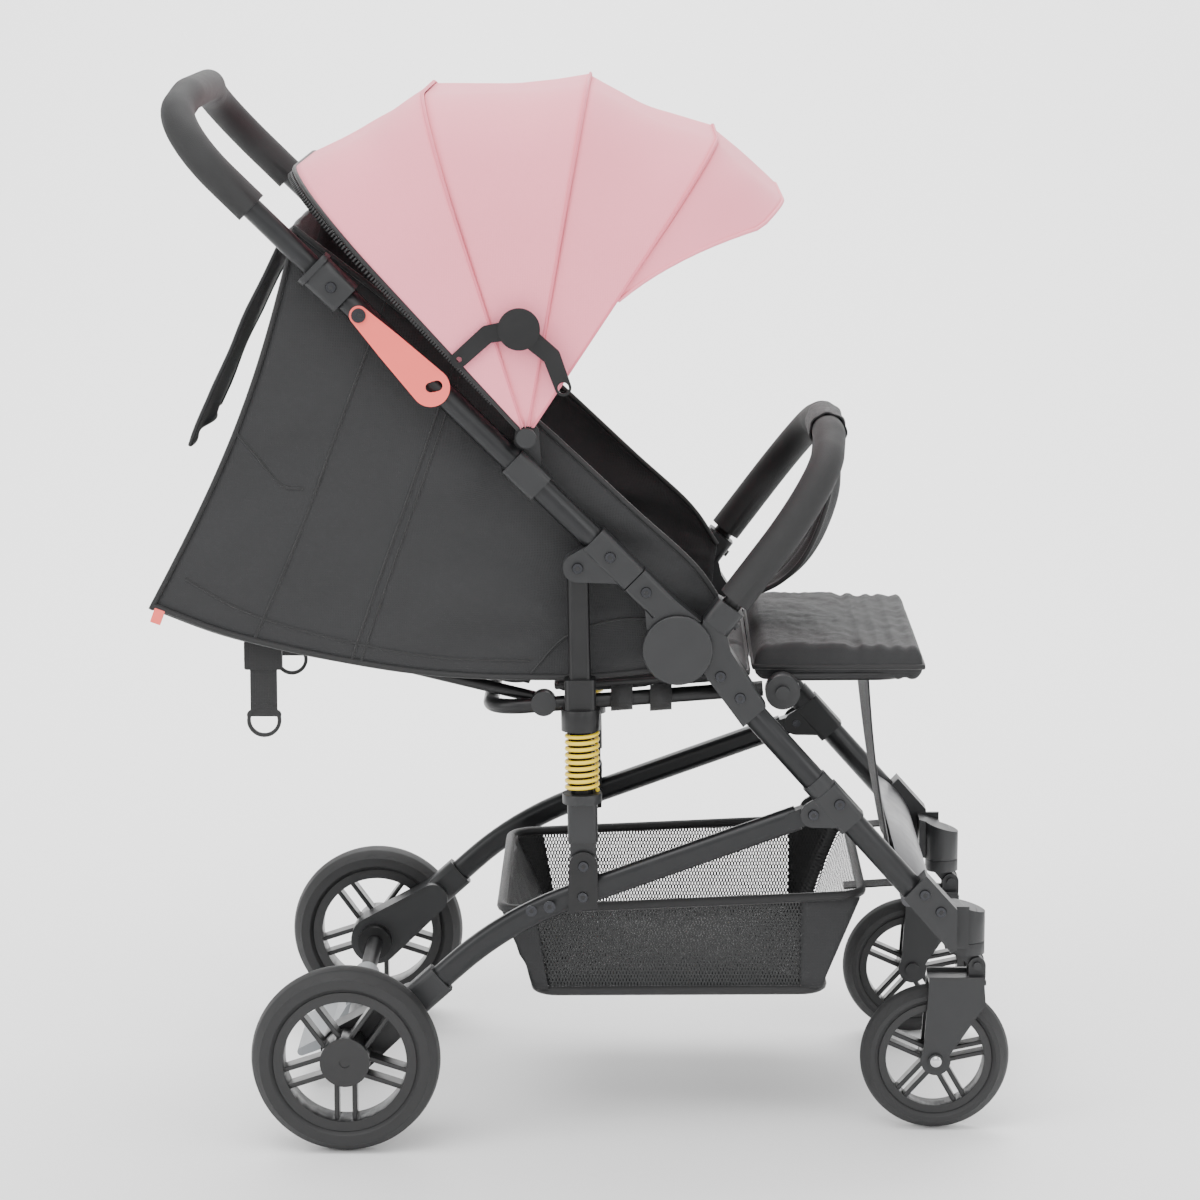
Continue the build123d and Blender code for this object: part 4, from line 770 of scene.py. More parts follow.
class HardParts:
    """The CAD nodes that are shown as they are, with finishes and softened edges."""

    BEVELS = {"tyre": 0.0, "spring": 0.0, "foam": 0.0}
    OTHER_SLOTS = {"rear_axle": "dark_metal"}
    HIDDEN_SLOTS = ("seat_cloth", "pad_cloth", "canopy_cloth", "mesh_cloth")

    def build(self) -> None:
        """Gives each shown CAD node its finish."""
        by_slot = {finish.slot: finish for finish in reversed(FINISHES)}
        for part in frame["record"]["subparts"]:
            node, slot = part["node"], part["material_slot"]
            if slot in self.HIDDEN_SLOTS:
                continue
            slot = self.OTHER_SLOTS.get(node, slot)
            finish = self.tyre(node) if slot == "tyre" else by_slot[slot]
            obj = frame["nodes"][node]
            obj.data.materials.clear()
            obj.data.materials.append(finish.build())
            self.soften(obj, self.BEVELS.get(slot, 0.0008))
        LOG.info("hard parts dressed")

    def tyre(self, node: str) -> Finish:
        """Makes a tyre's finish about its own axle.

        Args:
            node: The tyre's node name.

        Returns:
            The finish.
        """
        low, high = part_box(node)
        centre = ((low.x + high.x) / 2, (low.z + high.z) / 2)
        radius = (high.z - low.z) / 2
        end = node.split("_")[0]
        return TyreFinish(f"Rubber_{end}", "tyre", (0.0095, 0.0095, 0.0100), 0.6, bump=1.0, centre=centre,
                          radius=radius, blocks=24.0 if end == "rear" else 20.0)

    def soften(self, obj: bpy.types.Object, width: float) -> None:
        """Welds a CAD mesh and rounds its edges, without changing its own vertices.

        Args:
            obj: The CAD node.
            width: The bevel's width.
        """
        weld = obj.modifiers.new("weld", "WELD")
        weld.merge_threshold = 0.00001
        if width:
            add_bevel(obj, width)


# ---------------------------------------------------------------- canopy


@dataclass(frozen=True)
class CanopySize:
    """Sizes of the folding canopy, in metres and degrees."""

    half_width: float = 0.2215
    reach: float = 0.318
    corner: float = 0.120
    step: float = 0.0026
    hem_radius: float = 0.0022
    bow_inset: float = 0.0118
    bow_width: float = 0.0075
    visor_start: float = 0.150
    pivot_gap: float = 0.010


@dataclass(frozen=True)
class SectionSpec:
    """One canopy section: name, CAD node, body, index, angles and how far the cloth sags."""

    node: str
    body: str
    index: int
    first: float
    last: float
    sag: float


class Canopy:
    """Pink canopy of four sections on flat bows, with seams, hems and a zip."""

    SECTIONS = (
        SectionSpec("canopy_rear_section", "upper_frame", 0, 107.5, 132.5, 0.012),
        SectionSpec("canopy_mid_section", "canopy_mid", 1, 79.8, 107.5, 0.014),
        SectionSpec("canopy_front_section", "canopy_front", 2, 56.2, 79.8, 0.012),
        SectionSpec("canopy_visor", "canopy_peak", 3, 41.3, 56.2, 0.002),
    )

    def __init__(self, size: CanopySize) -> None:
        """Starts the canopy.

        Args:
            size: Its sizes.
        """
        self.size = size
        joint = next(j for j in frame["joints"] if j["name"] == "canopy_front_pivot")
        self.pivot = Vector(joint["pos_m"])

    def profile(self, inset: float) -> list[Point2]:
        """U-shaped section of the canopy, from the right pivot over the top to the left.

        Args:
            inset: How far inside the outermost shell it lies.

        Returns:
            (radius, y) pairs.
        """
        s = self.size
        half, reach, corner = s.half_width - inset, s.reach - inset, s.corner - inset
        line = [(s.pivot_gap + (reach - corner - s.pivot_gap) * i / 16, -half) for i in range(16)]
        for i in range(13):
            a = math.radians(-90 + 90 * i / 12)
            line.append((reach - corner + corner * math.cos(a), -half + corner + corner * math.sin(a)))
        line += [(reach, (half - corner) * (i / 4 - 1)) for i in range(1, 4)]
        mirrored = [(r, -y) for r, y in reversed(line)]
        return line + [(reach, 0.0)] + mirrored

    def point(self, radius: float, y: float, angle: float) -> Vector:
        """Row-frame point of a canopy coordinate.

        Args:
            radius: Distance from the pivot axis.
            y: Width.
            angle: Degrees above +X.

        Returns:
            The point.
        """
        a = math.radians(angle)
        return self.pivot + Vector((radius * math.cos(a), y, radius * math.sin(a)))

    def section(self, spec: SectionSpec) -> bpy.types.Object:
        """Builds a section's cloth, sagging between its bows.

        Args:
            spec: The section.

        Returns:
            The cloth.
        """
        inset = spec.index * self.size.step
        steps = 18
        rows = []
        visor = spec.node == "canopy_visor"
        for step in range(steps + 1):
            t = step / steps
            row = []
            for radius, y in self.profile(inset):
                radius = max(radius, self.size.visor_start * 0.985) if visor else radius
                share = min(1.0, radius / (self.size.reach - inset))
                first = spec.first
                if visor:
                    grown = max(0.0, (share * self.size.reach - self.size.visor_start))
                    first = spec.last - (spec.last - spec.first) * min(
                        1.0, grown / (self.size.reach - self.size.visor_start - self.size.corner * 0.25)
                    )
                angle = first + (spec.last - first) * t
                droop = spec.sag * math.sin(math.pi * t) * share**1.5
                ripple = (noise.noise(Vector((angle * 0.11, y * 14, radius * 11))) * 0.0034
                          * math.sin(math.pi * t))
                edge = math.copysign(1.0, y) if abs(y) > self.size.half_width * 0.35 else 0.0
                row.append(self.point(radius - droop + ripple, y - edge * droop * 0.35, angle))
            rows.append(row)
        cloth = make_grid(f"Cloth_{spec.node}", rows)
        add_thickness(cloth, 0.0012)
        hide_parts(spec.node)
        dress(cloth, CANOPY_CLOTH, spec.body)
        return cloth

    def edge_line(self, inset: float, angle: float, proud: float) -> list[Vector]:
        """Line over the canopy at an angle, a little proud of the cloth.

        Args:
            inset: The section's inset.
            angle: Where the line runs.
            proud: How far it stands out.

        Returns:
            The line's points.
        """
        return [self.point(r + proud, y, angle) for r, y in self.profile(inset)]

    def seams(self) -> None:
        """Adds a piped seam over each bow and a hem on the free edges."""
        for spec in self.SECTIONS[:3]:
            line = self.edge_line(spec.index * self.size.step, spec.first + 0.35, 0.0006)
            seam = make_cord(f"Seam_{spec.node}", line, 0.0013)
            dress(seam, CANOPY_SEAM, spec.body)
        rear = self.SECTIONS[0]
        hem = make_cord("Hem_rear", self.edge_line(0.0, rear.last, 0.0), self.size.hem_radius)
        dress(hem, PIPING, rear.body)
        visor = self.SECTIONS[3]
        cloth = bpy.data.objects[f"Cloth_{visor.node}"]
        width = len(self.profile(0.0))
        front = [v.co.copy() for v in cloth.data.vertices[10 : width - 10]]
        rim = make_cord("Hem_visor", front, 0.0018)
        dress(rim, CANOPY_CLOTH, visor.body)

    def bow(self, spec: SectionSpec) -> None:
        """Adds the flat bow inside a section's front edge.

        Args:
            spec: The section.
        """
        inset = self.size.bow_inset + spec.index * 0.0036
        turn = math.degrees(self.size.bow_width / 2 / self.size.reach) + 0.8
        rows = [
            [self.point(r, y, spec.first + turn + shift) for r, y in self.profile(inset)]
            for shift in (-turn / 2, turn / 2)
        ]
        band = make_grid(f"Bow_{spec.body}_{spec.index}", rows)
        add_thickness(band, 0.0026)
        dress(band, DARK_METAL, spec.body)

    def zip_line(self) -> None:
        """Adds the teeth of the zip along the rear edge."""
        line = self.edge_line(0.0, self.SECTIONS[0].last + 1.1, -0.001)
        path = smooth_line(line[3:-3], 240)
        vertices, faces = [], []
        for index, centre in enumerate(path):
            ahead = (path[min(index + 1, len(path) - 1)] - path[max(index - 1, 0)]).normalized()
            out = Vector((-math.sin(math.radians(132.5)), 0, math.cos(math.radians(132.5))))
            up = ahead.cross(out)
            start = len(vertices)
            for a in (-1, 1):
                for b in (-1, 1):
                    for c in (-1, 1):
                        vertices.append(centre + ahead * a * 0.0009 + out * b * 0.0028 + up * c * 0.0011)
            faces += [tuple(start + i for i in face) for face in
                      ((0, 1, 3, 2), (4, 6, 7, 5), (0, 4, 5, 1), (2, 3, 7, 6), (0, 2, 6, 4), (1, 5, 7, 3))]
        dress(make_object("Zip_teeth", vertices, faces), BUCKLE, "upper_frame")

    def build(self) -> None:
        """Builds the whole canopy."""
        for spec in self.SECTIONS:
            self.section(spec)
            if spec.index < 3:
                self.bow(spec)
        self.bow(SectionSpec("canopy_rear_section", "upper_frame", 0, 130.0, 132.5, 0.0))
        self.seams()
        self.zip_line()
        LOG.info("canopy built")


# ---------------------------------------------------------------- seat body


@dataclass(frozen=True)
class BucketSize:
    """Outline of the seat's cloth body in the side view, in metres."""

    half_width: float = 0.1805
    corner: float = 0.045
    bulge: float = 0.011
    upper: tuple[Point2, ...] = ((-0.262, 0.850), (-0.180, 0.787), (-0.100, 0.722), (-0.036, 0.668),
                                 (0.045, 0.592), (0.100, 0.541), (0.128, 0.500))
    lower: tuple[Point2, ...] = ((-0.400, 0.499), (-0.330, 0.473), (-0.240, 0.452), (-0.140, 0.437),
                                 (-0.030, 0.434), (0.050, 0.440), (0.122, 0.452))


class SeatBucket:
    """Charcoal cloth sides and back, with seams, piping, a rear flap and the loops on the seat tube."""

    COLUMNS = 44
    LEVELS = 30
    EDGE_PIPING = 0.0028

    def __init__(self, size: BucketSize) -> None:
        """Starts the seat body.

        Args:
            size: Its sizes.
        """
        self.size = size
        self.top = smooth_line([side_point(p, 0.0) for p in size.upper], self.COLUMNS)
        self.bottom = smooth_line([side_point(p, 0.0) for p in size.lower], self.COLUMNS)

    def flat(self, u: float, v: float) -> Vector:
        """Side-view point of the cloth.

        Args:
            u: From 0 at the rear to 1 at the front.
            v: From 0 at the bottom to 1 at the top.

        Returns:
            The point at y 0.
        """
        place = u * (self.COLUMNS - 1)
        first = min(int(place), self.COLUMNS - 2)
        t = place - first
        top = self.top[first].lerp(self.top[first + 1], t)
        bottom = self.bottom[first].lerp(self.bottom[first + 1], t)
        point = bottom.lerp(top, v)
        point.x += 0.016 * math.sin(math.pi * v) * (1 - u) ** 6
        return point

    def out(self, u: float, v: float) -> float:
        """How far the cloth stands out of its plane: slack, folds and pulls at the edges.

        Args:
            u: From 0 at the rear to 1 at the front.
            v: From 0 at the bottom to 1 at the top.

        Returns:
            The distance in metres.
        """
        body = math.sin(math.pi * min(1, max(0, u))) ** 0.6 * math.sin(math.pi * v) ** 0.7
        fold = noise.noise(Vector((u * 5.0 - v * 2.2, v * 2.6, 3.1))) + 0.5 * noise.noise(
            Vector((u * 13.0 - v * 5.0, v * 5.0, 8.4)))
        return self.size.bulge * body * (0.55 + 1.3 * fold)

    def point(self, u: float, v: float, side: Side, proud: float = 0.0) -> Vector:
        """Point on a side's outer face.

        Args:
            u: From 0 at the rear to 1 at the front.
            v: From 0 at the bottom to 1 at the top.
            side: Which side.
            proud: Extra distance outwards.

        Returns:
            The point in space.
        """
        found = self.flat(u, v)
        found.y = side.value * (self.size.half_width + self.out(u, v) + proud)
        return found

    def build_sides(self) -> None:
        """Builds the sides and the back as one sheet."""
        rows = []
        for level in range(self.LEVELS + 1):
            v = level / self.LEVELS
            right = [self.point(1 - i / self.COLUMNS, v, Side.RIGHT) for i in range(self.COLUMNS + 1)]
            left = [Vector((p.x, -p.y, p.z)) for p in reversed(right)]
            end = right[-1]
            back = []
            for i in range(1, 16):
                t = i / 16
                y = end.y + (left[0].y - end.y) * t
                round_off = 0.010 * (1 - (2 * t - 1) ** 8)
                wave = 0.004 * noise.noise(Vector((y * 9, v * 4, 1.0)))
                back.append(Vector((end.x + 0.006 - round_off * 0.6 + abs(wave), y, end.z)))
            rows.append(right + back + left)
        cloth = make_grid("Seat_body", rows)
        add_thickness(cloth, 0.0016)
        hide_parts("seat_fabric")
        dress(cloth, SEAT_CLOTH, "upper_frame")

    def seam(self, name: str, track: list[Point2], side: Side, radius: float,
             finish: Finish = PIPING) -> None:
        """Adds a strand that lies on a side.

        Args:
            name: The piece's name.
            track: (u, v) points it passes.
            side: Which side.
            radius: Its radius.
            finish: Its finish.
        """
        spread = smooth_line([Vector((u, v, 0)) for u, v in track], 60)
        line = [self.point(min(1, max(0, p.x)), min(1, max(0, p.y)), side, 0.0008) for p in spread]
        dress(make_cord(f"{name}_{side.name.lower()}", line, radius), finish, "upper_frame")

    def build_seams(self) -> None:
        """Adds piping round the edges and the stitched lines of the sides."""
        for side in Side:
            for name, level in (("Piping_top", 0.995), ("Piping_bottom", 0.01)):
                self.seam(name, [(i / 4, level) for i in range(5)], side, self.EDGE_PIPING)
            self.seam("Piping_rear", [(0.004, 0.0), (0.004, 0.3), (0.004, 0.6), (0.004, 1.0)], side, 0.0024)
            self.seam("Seam_shoulder", [(0.0, 0.47), (0.06, 0.45), (0.13, 0.42), (0.17, 0.44)], side, 0.0011)
            self.seam("Seam_back", [(0.17, 0.99), (0.18, 0.66), (0.20, 0.33), (0.215, 0.01)], side, 0.0012)
            self.seam("Seam_middle", [(0.30, 0.99), (0.325, 0.66), (0.35, 0.33), (0.375, 0.01)], side, 0.0012)
            self.seam("Seam_double", [(0.315, 0.99), (0.34, 0.66), (0.365, 0.33), (0.39, 0.01)], side, 0.0009)
            self.seam("Seam_lower", [(0.04, 0.10), (0.25, 0.075), (0.5, 0.075), (0.62, 0.10)], side, 0.0010)
            self.seam("Seam_pocket", [(0.63, 0.03), (0.66, 0.26), (0.74, 0.42), (0.86, 0.50), (0.97, 0.45)],
                      side, 0.0012)

    def build_flap(self) -> None:
        """Adds the airing flap that hangs open behind the back."""
        rows = []
        for i in range(19):
            t = i / 18
            hang = Vector((-0.272 - 0.078 * t, 0.0, 0.838 - 0.186 * t))
            away = 0.004 + 0.012 * math.sin(math.pi * t * 0.55)
            row = []
            for j in range(25):
                y = -0.150 + 0.300 * j / 24
                ripple = 0.004 * math.sin(y * 38) * t + 0.003 * noise.noise(Vector((y * 12, t * 4, 2)))
                row.append(hang + Vector((-away * 0.9 + ripple, y, -away * 0.35)))
            rows.append(row)
        flap = make_grid("Back_flap", rows)
        add_thickness(flap, 0.0018)
        dress(flap, SEAT_CLOTH, "upper_frame")
        border = grid_border(rows)
        dress(make_cord("Flap_binding", border, 0.0022, closed=True), PIPING, "upper_frame")

    def build_loops(self) -> None:
        """Adds the short cloth loops that hold the body to the seat tube, and the head tab."""
        for side in Side:
            y = side.value * 0.171
            for index, x in enumerate((0.034, 0.070)):
                ring = [Vector((x, y + 0.0105 * math.cos(a), 0.415 + 0.0115 * math.sin(a)))
                        for a in (math.tau * i / 20 for i in range(20))]
                rows = [[p + Vector((shift, 0, shift * 0.08)) for p in ring] for shift in (-0.010, 0.010)]
                loop = make_grid(f"Loop_{index}_{side.name.lower()}", rows, closed=True)
                add_thickness(loop, 0.0016)
                dress(loop, WEBBING, "front_frame")
            tab = make_box(f"Head_tab_{side.name.lower()}", Vector((-0.392, side.value * 0.1835, 0.492)),
                           Vector((0.010, 0.0016, 0.014)), math.radians(-20), 0.0006)
            dress(tab, CORAL, "upper_frame")

    def build(self) -> None:
        """Builds the whole seat body."""
        self.build_sides()
        self.build_seams()
        self.build_flap()
        self.build_loops()
        LOG.info("seat body built")


# ---------------------------------------------------------------- pads


@dataclass(frozen=True)
class PadSize:
    """Placing and size of a pad.

    Attributes:
        start: Side-view point of its lower face at one end.
        angle: Degrees above +X of its length.
        length: Its length.
        half_width: Half its width.
        thickness: Its full thickness in the middle.
        channels: Shares of the length where it is stitched down.
        ribs: Shares of the width where it is stitched down.
        round_off: How fast its edges round off.
    """

    start: Point2
    angle: float
    length: float
    half_width: float
    thickness: float
    channels: tuple[float, ...] = ()
    ribs: tuple[float, ...] = ()
    round_off: float = 0.10


class Pad:
    """A stuffed pad with quilting, puckers at the stitches and a piped edge."""

    COUNT_U = 72
    COUNT_V = 64

    def __init__(self, name: str, size: PadSize, body: str, replaced: str | None, fill: float) -> None:
        """Starts a pad.

        Args:
            name: The piece's name.
            size: Its placing and size.
            body: The CAD body it rides on.
            replaced: The CAD node it stands for.
            fill: How full it is, from 0 to 1; not used.
        """
        self.name, self.size, self.body, self.replaced, self.fill = name, size, body, replaced, fill

    def height(self, u: float, v: float) -> float:
        """Share of the thickness at a place.

        Args:
            u: Share of the length.
            v: Share of the width.

        Returns:
            From 0 at the rim to 1 in the middle.
        """
        s = self.size
        edge_u = min(1.0, min(u, 1 - u) / s.round_off)
        edge_v = min(1.0, min(v, 1 - v) / (s.round_off * s.length / (2 * s.half_width)))
        level = math.sqrt(1 - (1 - edge_u) ** 2) * math.sqrt(1 - (1 - edge_v) ** 2)
        dip = 1.0
        for place in s.channels:
            dip -= 0.17 * math.exp(-(((u - place) * s.length / 0.0060) ** 2))
        for place in s.ribs:
            dip -= 0.36 * math.exp(-(((v - place) * 2 * s.half_width / 0.0055) ** 2))
        pucker = 0.10 * noise.noise(Vector((u * 9, v * 11, s.length * 40))) + 0.05 * noise.noise(
            Vector((u * 31, v * 37, 5.0)))
        return max(0.02, level * (dip + pucker))

    def place(self, u: float, v: float, lift: float) -> Vector:
        """Row-frame point of the pad.

        Args:
            u: Share of the length.
            v: Share of the width.
            lift: Height above its lower face.

        Returns:
            The point.
        """
        s, a = self.size, math.radians(self.size.angle)
        along = u * s.length
        up = Vector((-math.sin(a), 0, math.cos(a))) * (1 if math.cos(a) > 0 else -1)
        base = Vector((s.start[0] + along * math.cos(a), 0, s.start[1] + along * math.sin(a)))
        return base + up * lift + Vector((0, s.half_width * (2 * v - 1), 0))

    def build(self) -> bpy.types.Object:
        """Builds the pad.

        Returns:
            The pad's object.
        """
        s = self.size
        seam = s.thickness * 0.42
        top, low = [], []
        for i in range(self.COUNT_U + 1):
            u = i / self.COUNT_U
            top_row, low_row = [], []
            for j in range(self.COUNT_V + 1):
                v = j / self.COUNT_V
                level = self.height(u, v)
                top_row.append(self.place(u, v, seam + (s.thickness - seam) * level))
                low_row.append(self.place(u, v, seam * (1 - 0.92 * min(1.0, level * 1.1))))
            top.append(top_row)
            low.append(low_row)
        width = self.COUNT_V + 1
        count = (self.COUNT_U + 1) * width
        faces = []
        for i in range(self.COUNT_U):
            for j in range(self.COUNT_V):
                a = i * width + j
                faces.append((a, a + width, a + width + 1, a + 1))
                faces.append((count + a, count + a + 1, count + a + width + 1, count + a + width))
        border = ([j for j in range(width)] + [i * width + width - 1 for i in range(1, self.COUNT_U + 1)]
                  + [self.COUNT_U * width + j for j in range(width - 2, -1, -1)]
                  + [i * width for i in range(self.COUNT_U - 1, 0, -1)])
        for here, there in zip(border, border[1:] + border[:1]):
            faces.append((here, there, count + there, count + here))
        pad = make_object(self.name, [p for row in top + low for p in row], faces)
        if self.replaced:
            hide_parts(self.replaced)
        dress(pad, PAD_CLOTH, self.body)
        rim = [self.place(0.003 + 0.994 * u, 0.003 + 0.994 * v, seam) for u, v in self.rim()]
        dress(make_cord(f"{self.name}_piping", rim, 0.0026, closed=True), PIPING, self.body)
        return pad

    def rim(self) -> list[Point2]:
        """The pad's outline with rounded corners.

        Returns:
            (u, v) pairs round the rim.
        """
        steps = 24
        ring = [(i / steps, 0.0) for i in range(steps)] + [(1.0, i / steps) for i in range(steps)]
        ring += [(1 - i / steps, 1.0) for i in range(steps)] + [(0.0, 1 - i / steps) for i in range(steps)]
        return ring


class SeatPads:
    """The seat, backrest, head and leg rest pads with the harness."""

    SEAT = PadSize((-0.026, 0.4165), 4.42, 0.178, 0.176, 0.021, channels=(0.5,), ribs=(0.28, 0.72))
    BACK = PadSize((-0.054, 0.4195), 166.4, 0.246, 0.166, 0.023, channels=(0.36, 0.68), ribs=(0.25, 0.75))
    HEAD = PadSize((-0.294, 0.4770), 168.0, 0.100, 0.163, 0.024, channels=(0.5,))
    LEG = PadSize((0.156, 0.4245), 0.0, 0.158, 0.149, 0.0350, channels=(0.60, 0.70, 0.80, 0.90),
                  round_off=0.08)

    def build(self) -> None:
        """Builds the pads and the harness straps."""
        Pad("Seat_cushion", self.SEAT, "front_frame", "seat_pad", 0.6).build()
        Pad("Backrest_cushion", self.BACK, "backrest", "backrest_pad", 0.6).build()
        Pad("Head_cushion", self.HEAD, "backrest", "backrest_head", 0.5).build()
        Pad("Leg_cushion", self.LEG, "leg_rest", "leg_rest_pad", 0.7).build()
        self.calf()
        self.harness()
        LOG.info("pads built")

    def calf(self) -> None:
        """Adds the cloth that hangs from the leg rest to the cross member."""
        rows = []
        for i in range(25):
            t = i / 24
            x, z = 0.2628 + 0.0290 * t, 0.4355 - 0.2055 * t
            rows.append([
                Vector((x - 0.004 * math.sin(math.pi * t) + 0.0015 * math.sin(y * 55) * t, y, z))
                for y in (-0.130 + 0.260 * j / 30 for j in range(31))
            ])
        cloth = make_grid("Calf_panel", rows)
        add_thickness(cloth, 0.0015)
        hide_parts("calf_cloth")
        dress(cloth, SEAT_CLOTH, "front_frame")

    def harness(self) -> None:
        """Adds two shoulder straps and two hip straps that lie on the pads to the buckle."""
        low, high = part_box("harness_buckle")
        buckle = Vector(((low.x + high.x) / 2, 0.0, high.z - 0.014))
        tracks = []
        for side in Side:
            y = side.value
            tracks.append((f"Shoulder_strap_{side.name.lower()}", [Vector((-0.225, y * 0.060, 0.4915)),
                          Vector((-0.150, y * 0.058, 0.4740)), Vector((-0.060, y * 0.050, 0.4560)),
                          Vector((0.020, y * 0.036, 0.4640)),
                          buckle + Vector((-0.004, y * 0.022, 0.0))], "front_frame"))
            tracks.append((f"Hip_strap_{side.name.lower()}", [Vector((0.006, y * 0.160, 0.4420)),
                          Vector((0.018, y * 0.110, 0.4480)), Vector((0.040, y * 0.050, 0.4600)),
                          buckle + Vector((-0.002, y * 0.023, -0.004))], "front_frame"))
        for name, points, body in tracks:
            line = smooth_line(points, 40)
            rows = []
            for index, centre in enumerate(line):
                ahead = (line[min(index + 1, 39)] - line[max(index - 1, 0)]).normalized()
                across = ahead.cross(Vector((0, 0, 1))).normalized()
                rows.append([centre + across * w for w in (-0.0125, -0.006, 0.0, 0.006, 0.0125)])
            strap = make_grid(name, rows)
            add_thickness(strap, 0.0016)
            dress(strap, WEBBING, body)


class CrotchFlap:
    """The cloth cover on the middle of the bumper bar, and its flap down to the seat."""

    def build(self) -> None:
        """Builds the wrap, the flap and its piping."""
        _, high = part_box("crotch_flap")
        centre = Vector((high.x - 0.0184, 0.0, high.z - 0.0184))
        rows = []
        for i in range(25):
            y = -0.043 + 0.086 * i / 24
            puff = 0.0010 * noise.noise(Vector((y * 60, 0, 1)))
            rows.append([
                centre + Vector(((0.0172 + puff + 0.0006 * math.sin(a * 7 + y * 90)) * math.cos(a), y,
                                 (0.0172 + puff + 0.0006 * math.sin(a * 7 + y * 90)) * math.sin(a)))
                for a in (math.tau * j / 40 for j in range(40))
            ])
        wrap = make_grid("Bumper_wrap", rows, closed=True)
        add_thickness(wrap, 0.0016)
        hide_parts("crotch_flap")
        dress(wrap, SEAT_CLOTH, "bumper")
        track = smooth_line([side_point(p, 0) for p in ((0.2350, 0.6270), (0.2330, 0.585), (0.2145, 0.5360),
                                                        (0.1880, 0.5030), (0.1500, 0.4800))], 30)
        rows = []
        for index, point in enumerate(track):
            t = index / 29
            half = 0.046 + 0.010 * math.sin(math.pi * t) - 0.012 * t**3
            rows.append([
                point + Vector((0.004 * math.cos(3 * math.pi * w), half * w, 0.002 * math.sin(5 * w + 6 * t)))
                for w in (j / 12 - 1 for j in range(25))
            ])
        flap = make_grid("Crotch_flap_cloth", rows)
        add_thickness(flap, 0.0040)
        dress(flap, SEAT_CLOTH, "bumper")
        border = grid_border(rows)
        dress(make_cord("Flap_piping", border, 0.0024, closed=True), PIPING, "bumper")
        LOG.info("crotch flap built")


# ---------------------------------------------------------------- basket


@dataclass(frozen=True)
class BasketSize:
    """Outline of the basket in the side view, and its half width, in metres."""

    top_rear: Point2 = (-0.080, 0.208)
    top_front: Point2 = (0.260, 0.224)
    bottom_front: Point2 = (0.224, 0.1325)
    bottom_rear: Point2 = (-0.048, 0.1305)
    half_width: float = 0.1585
    binding: float = 0.0045


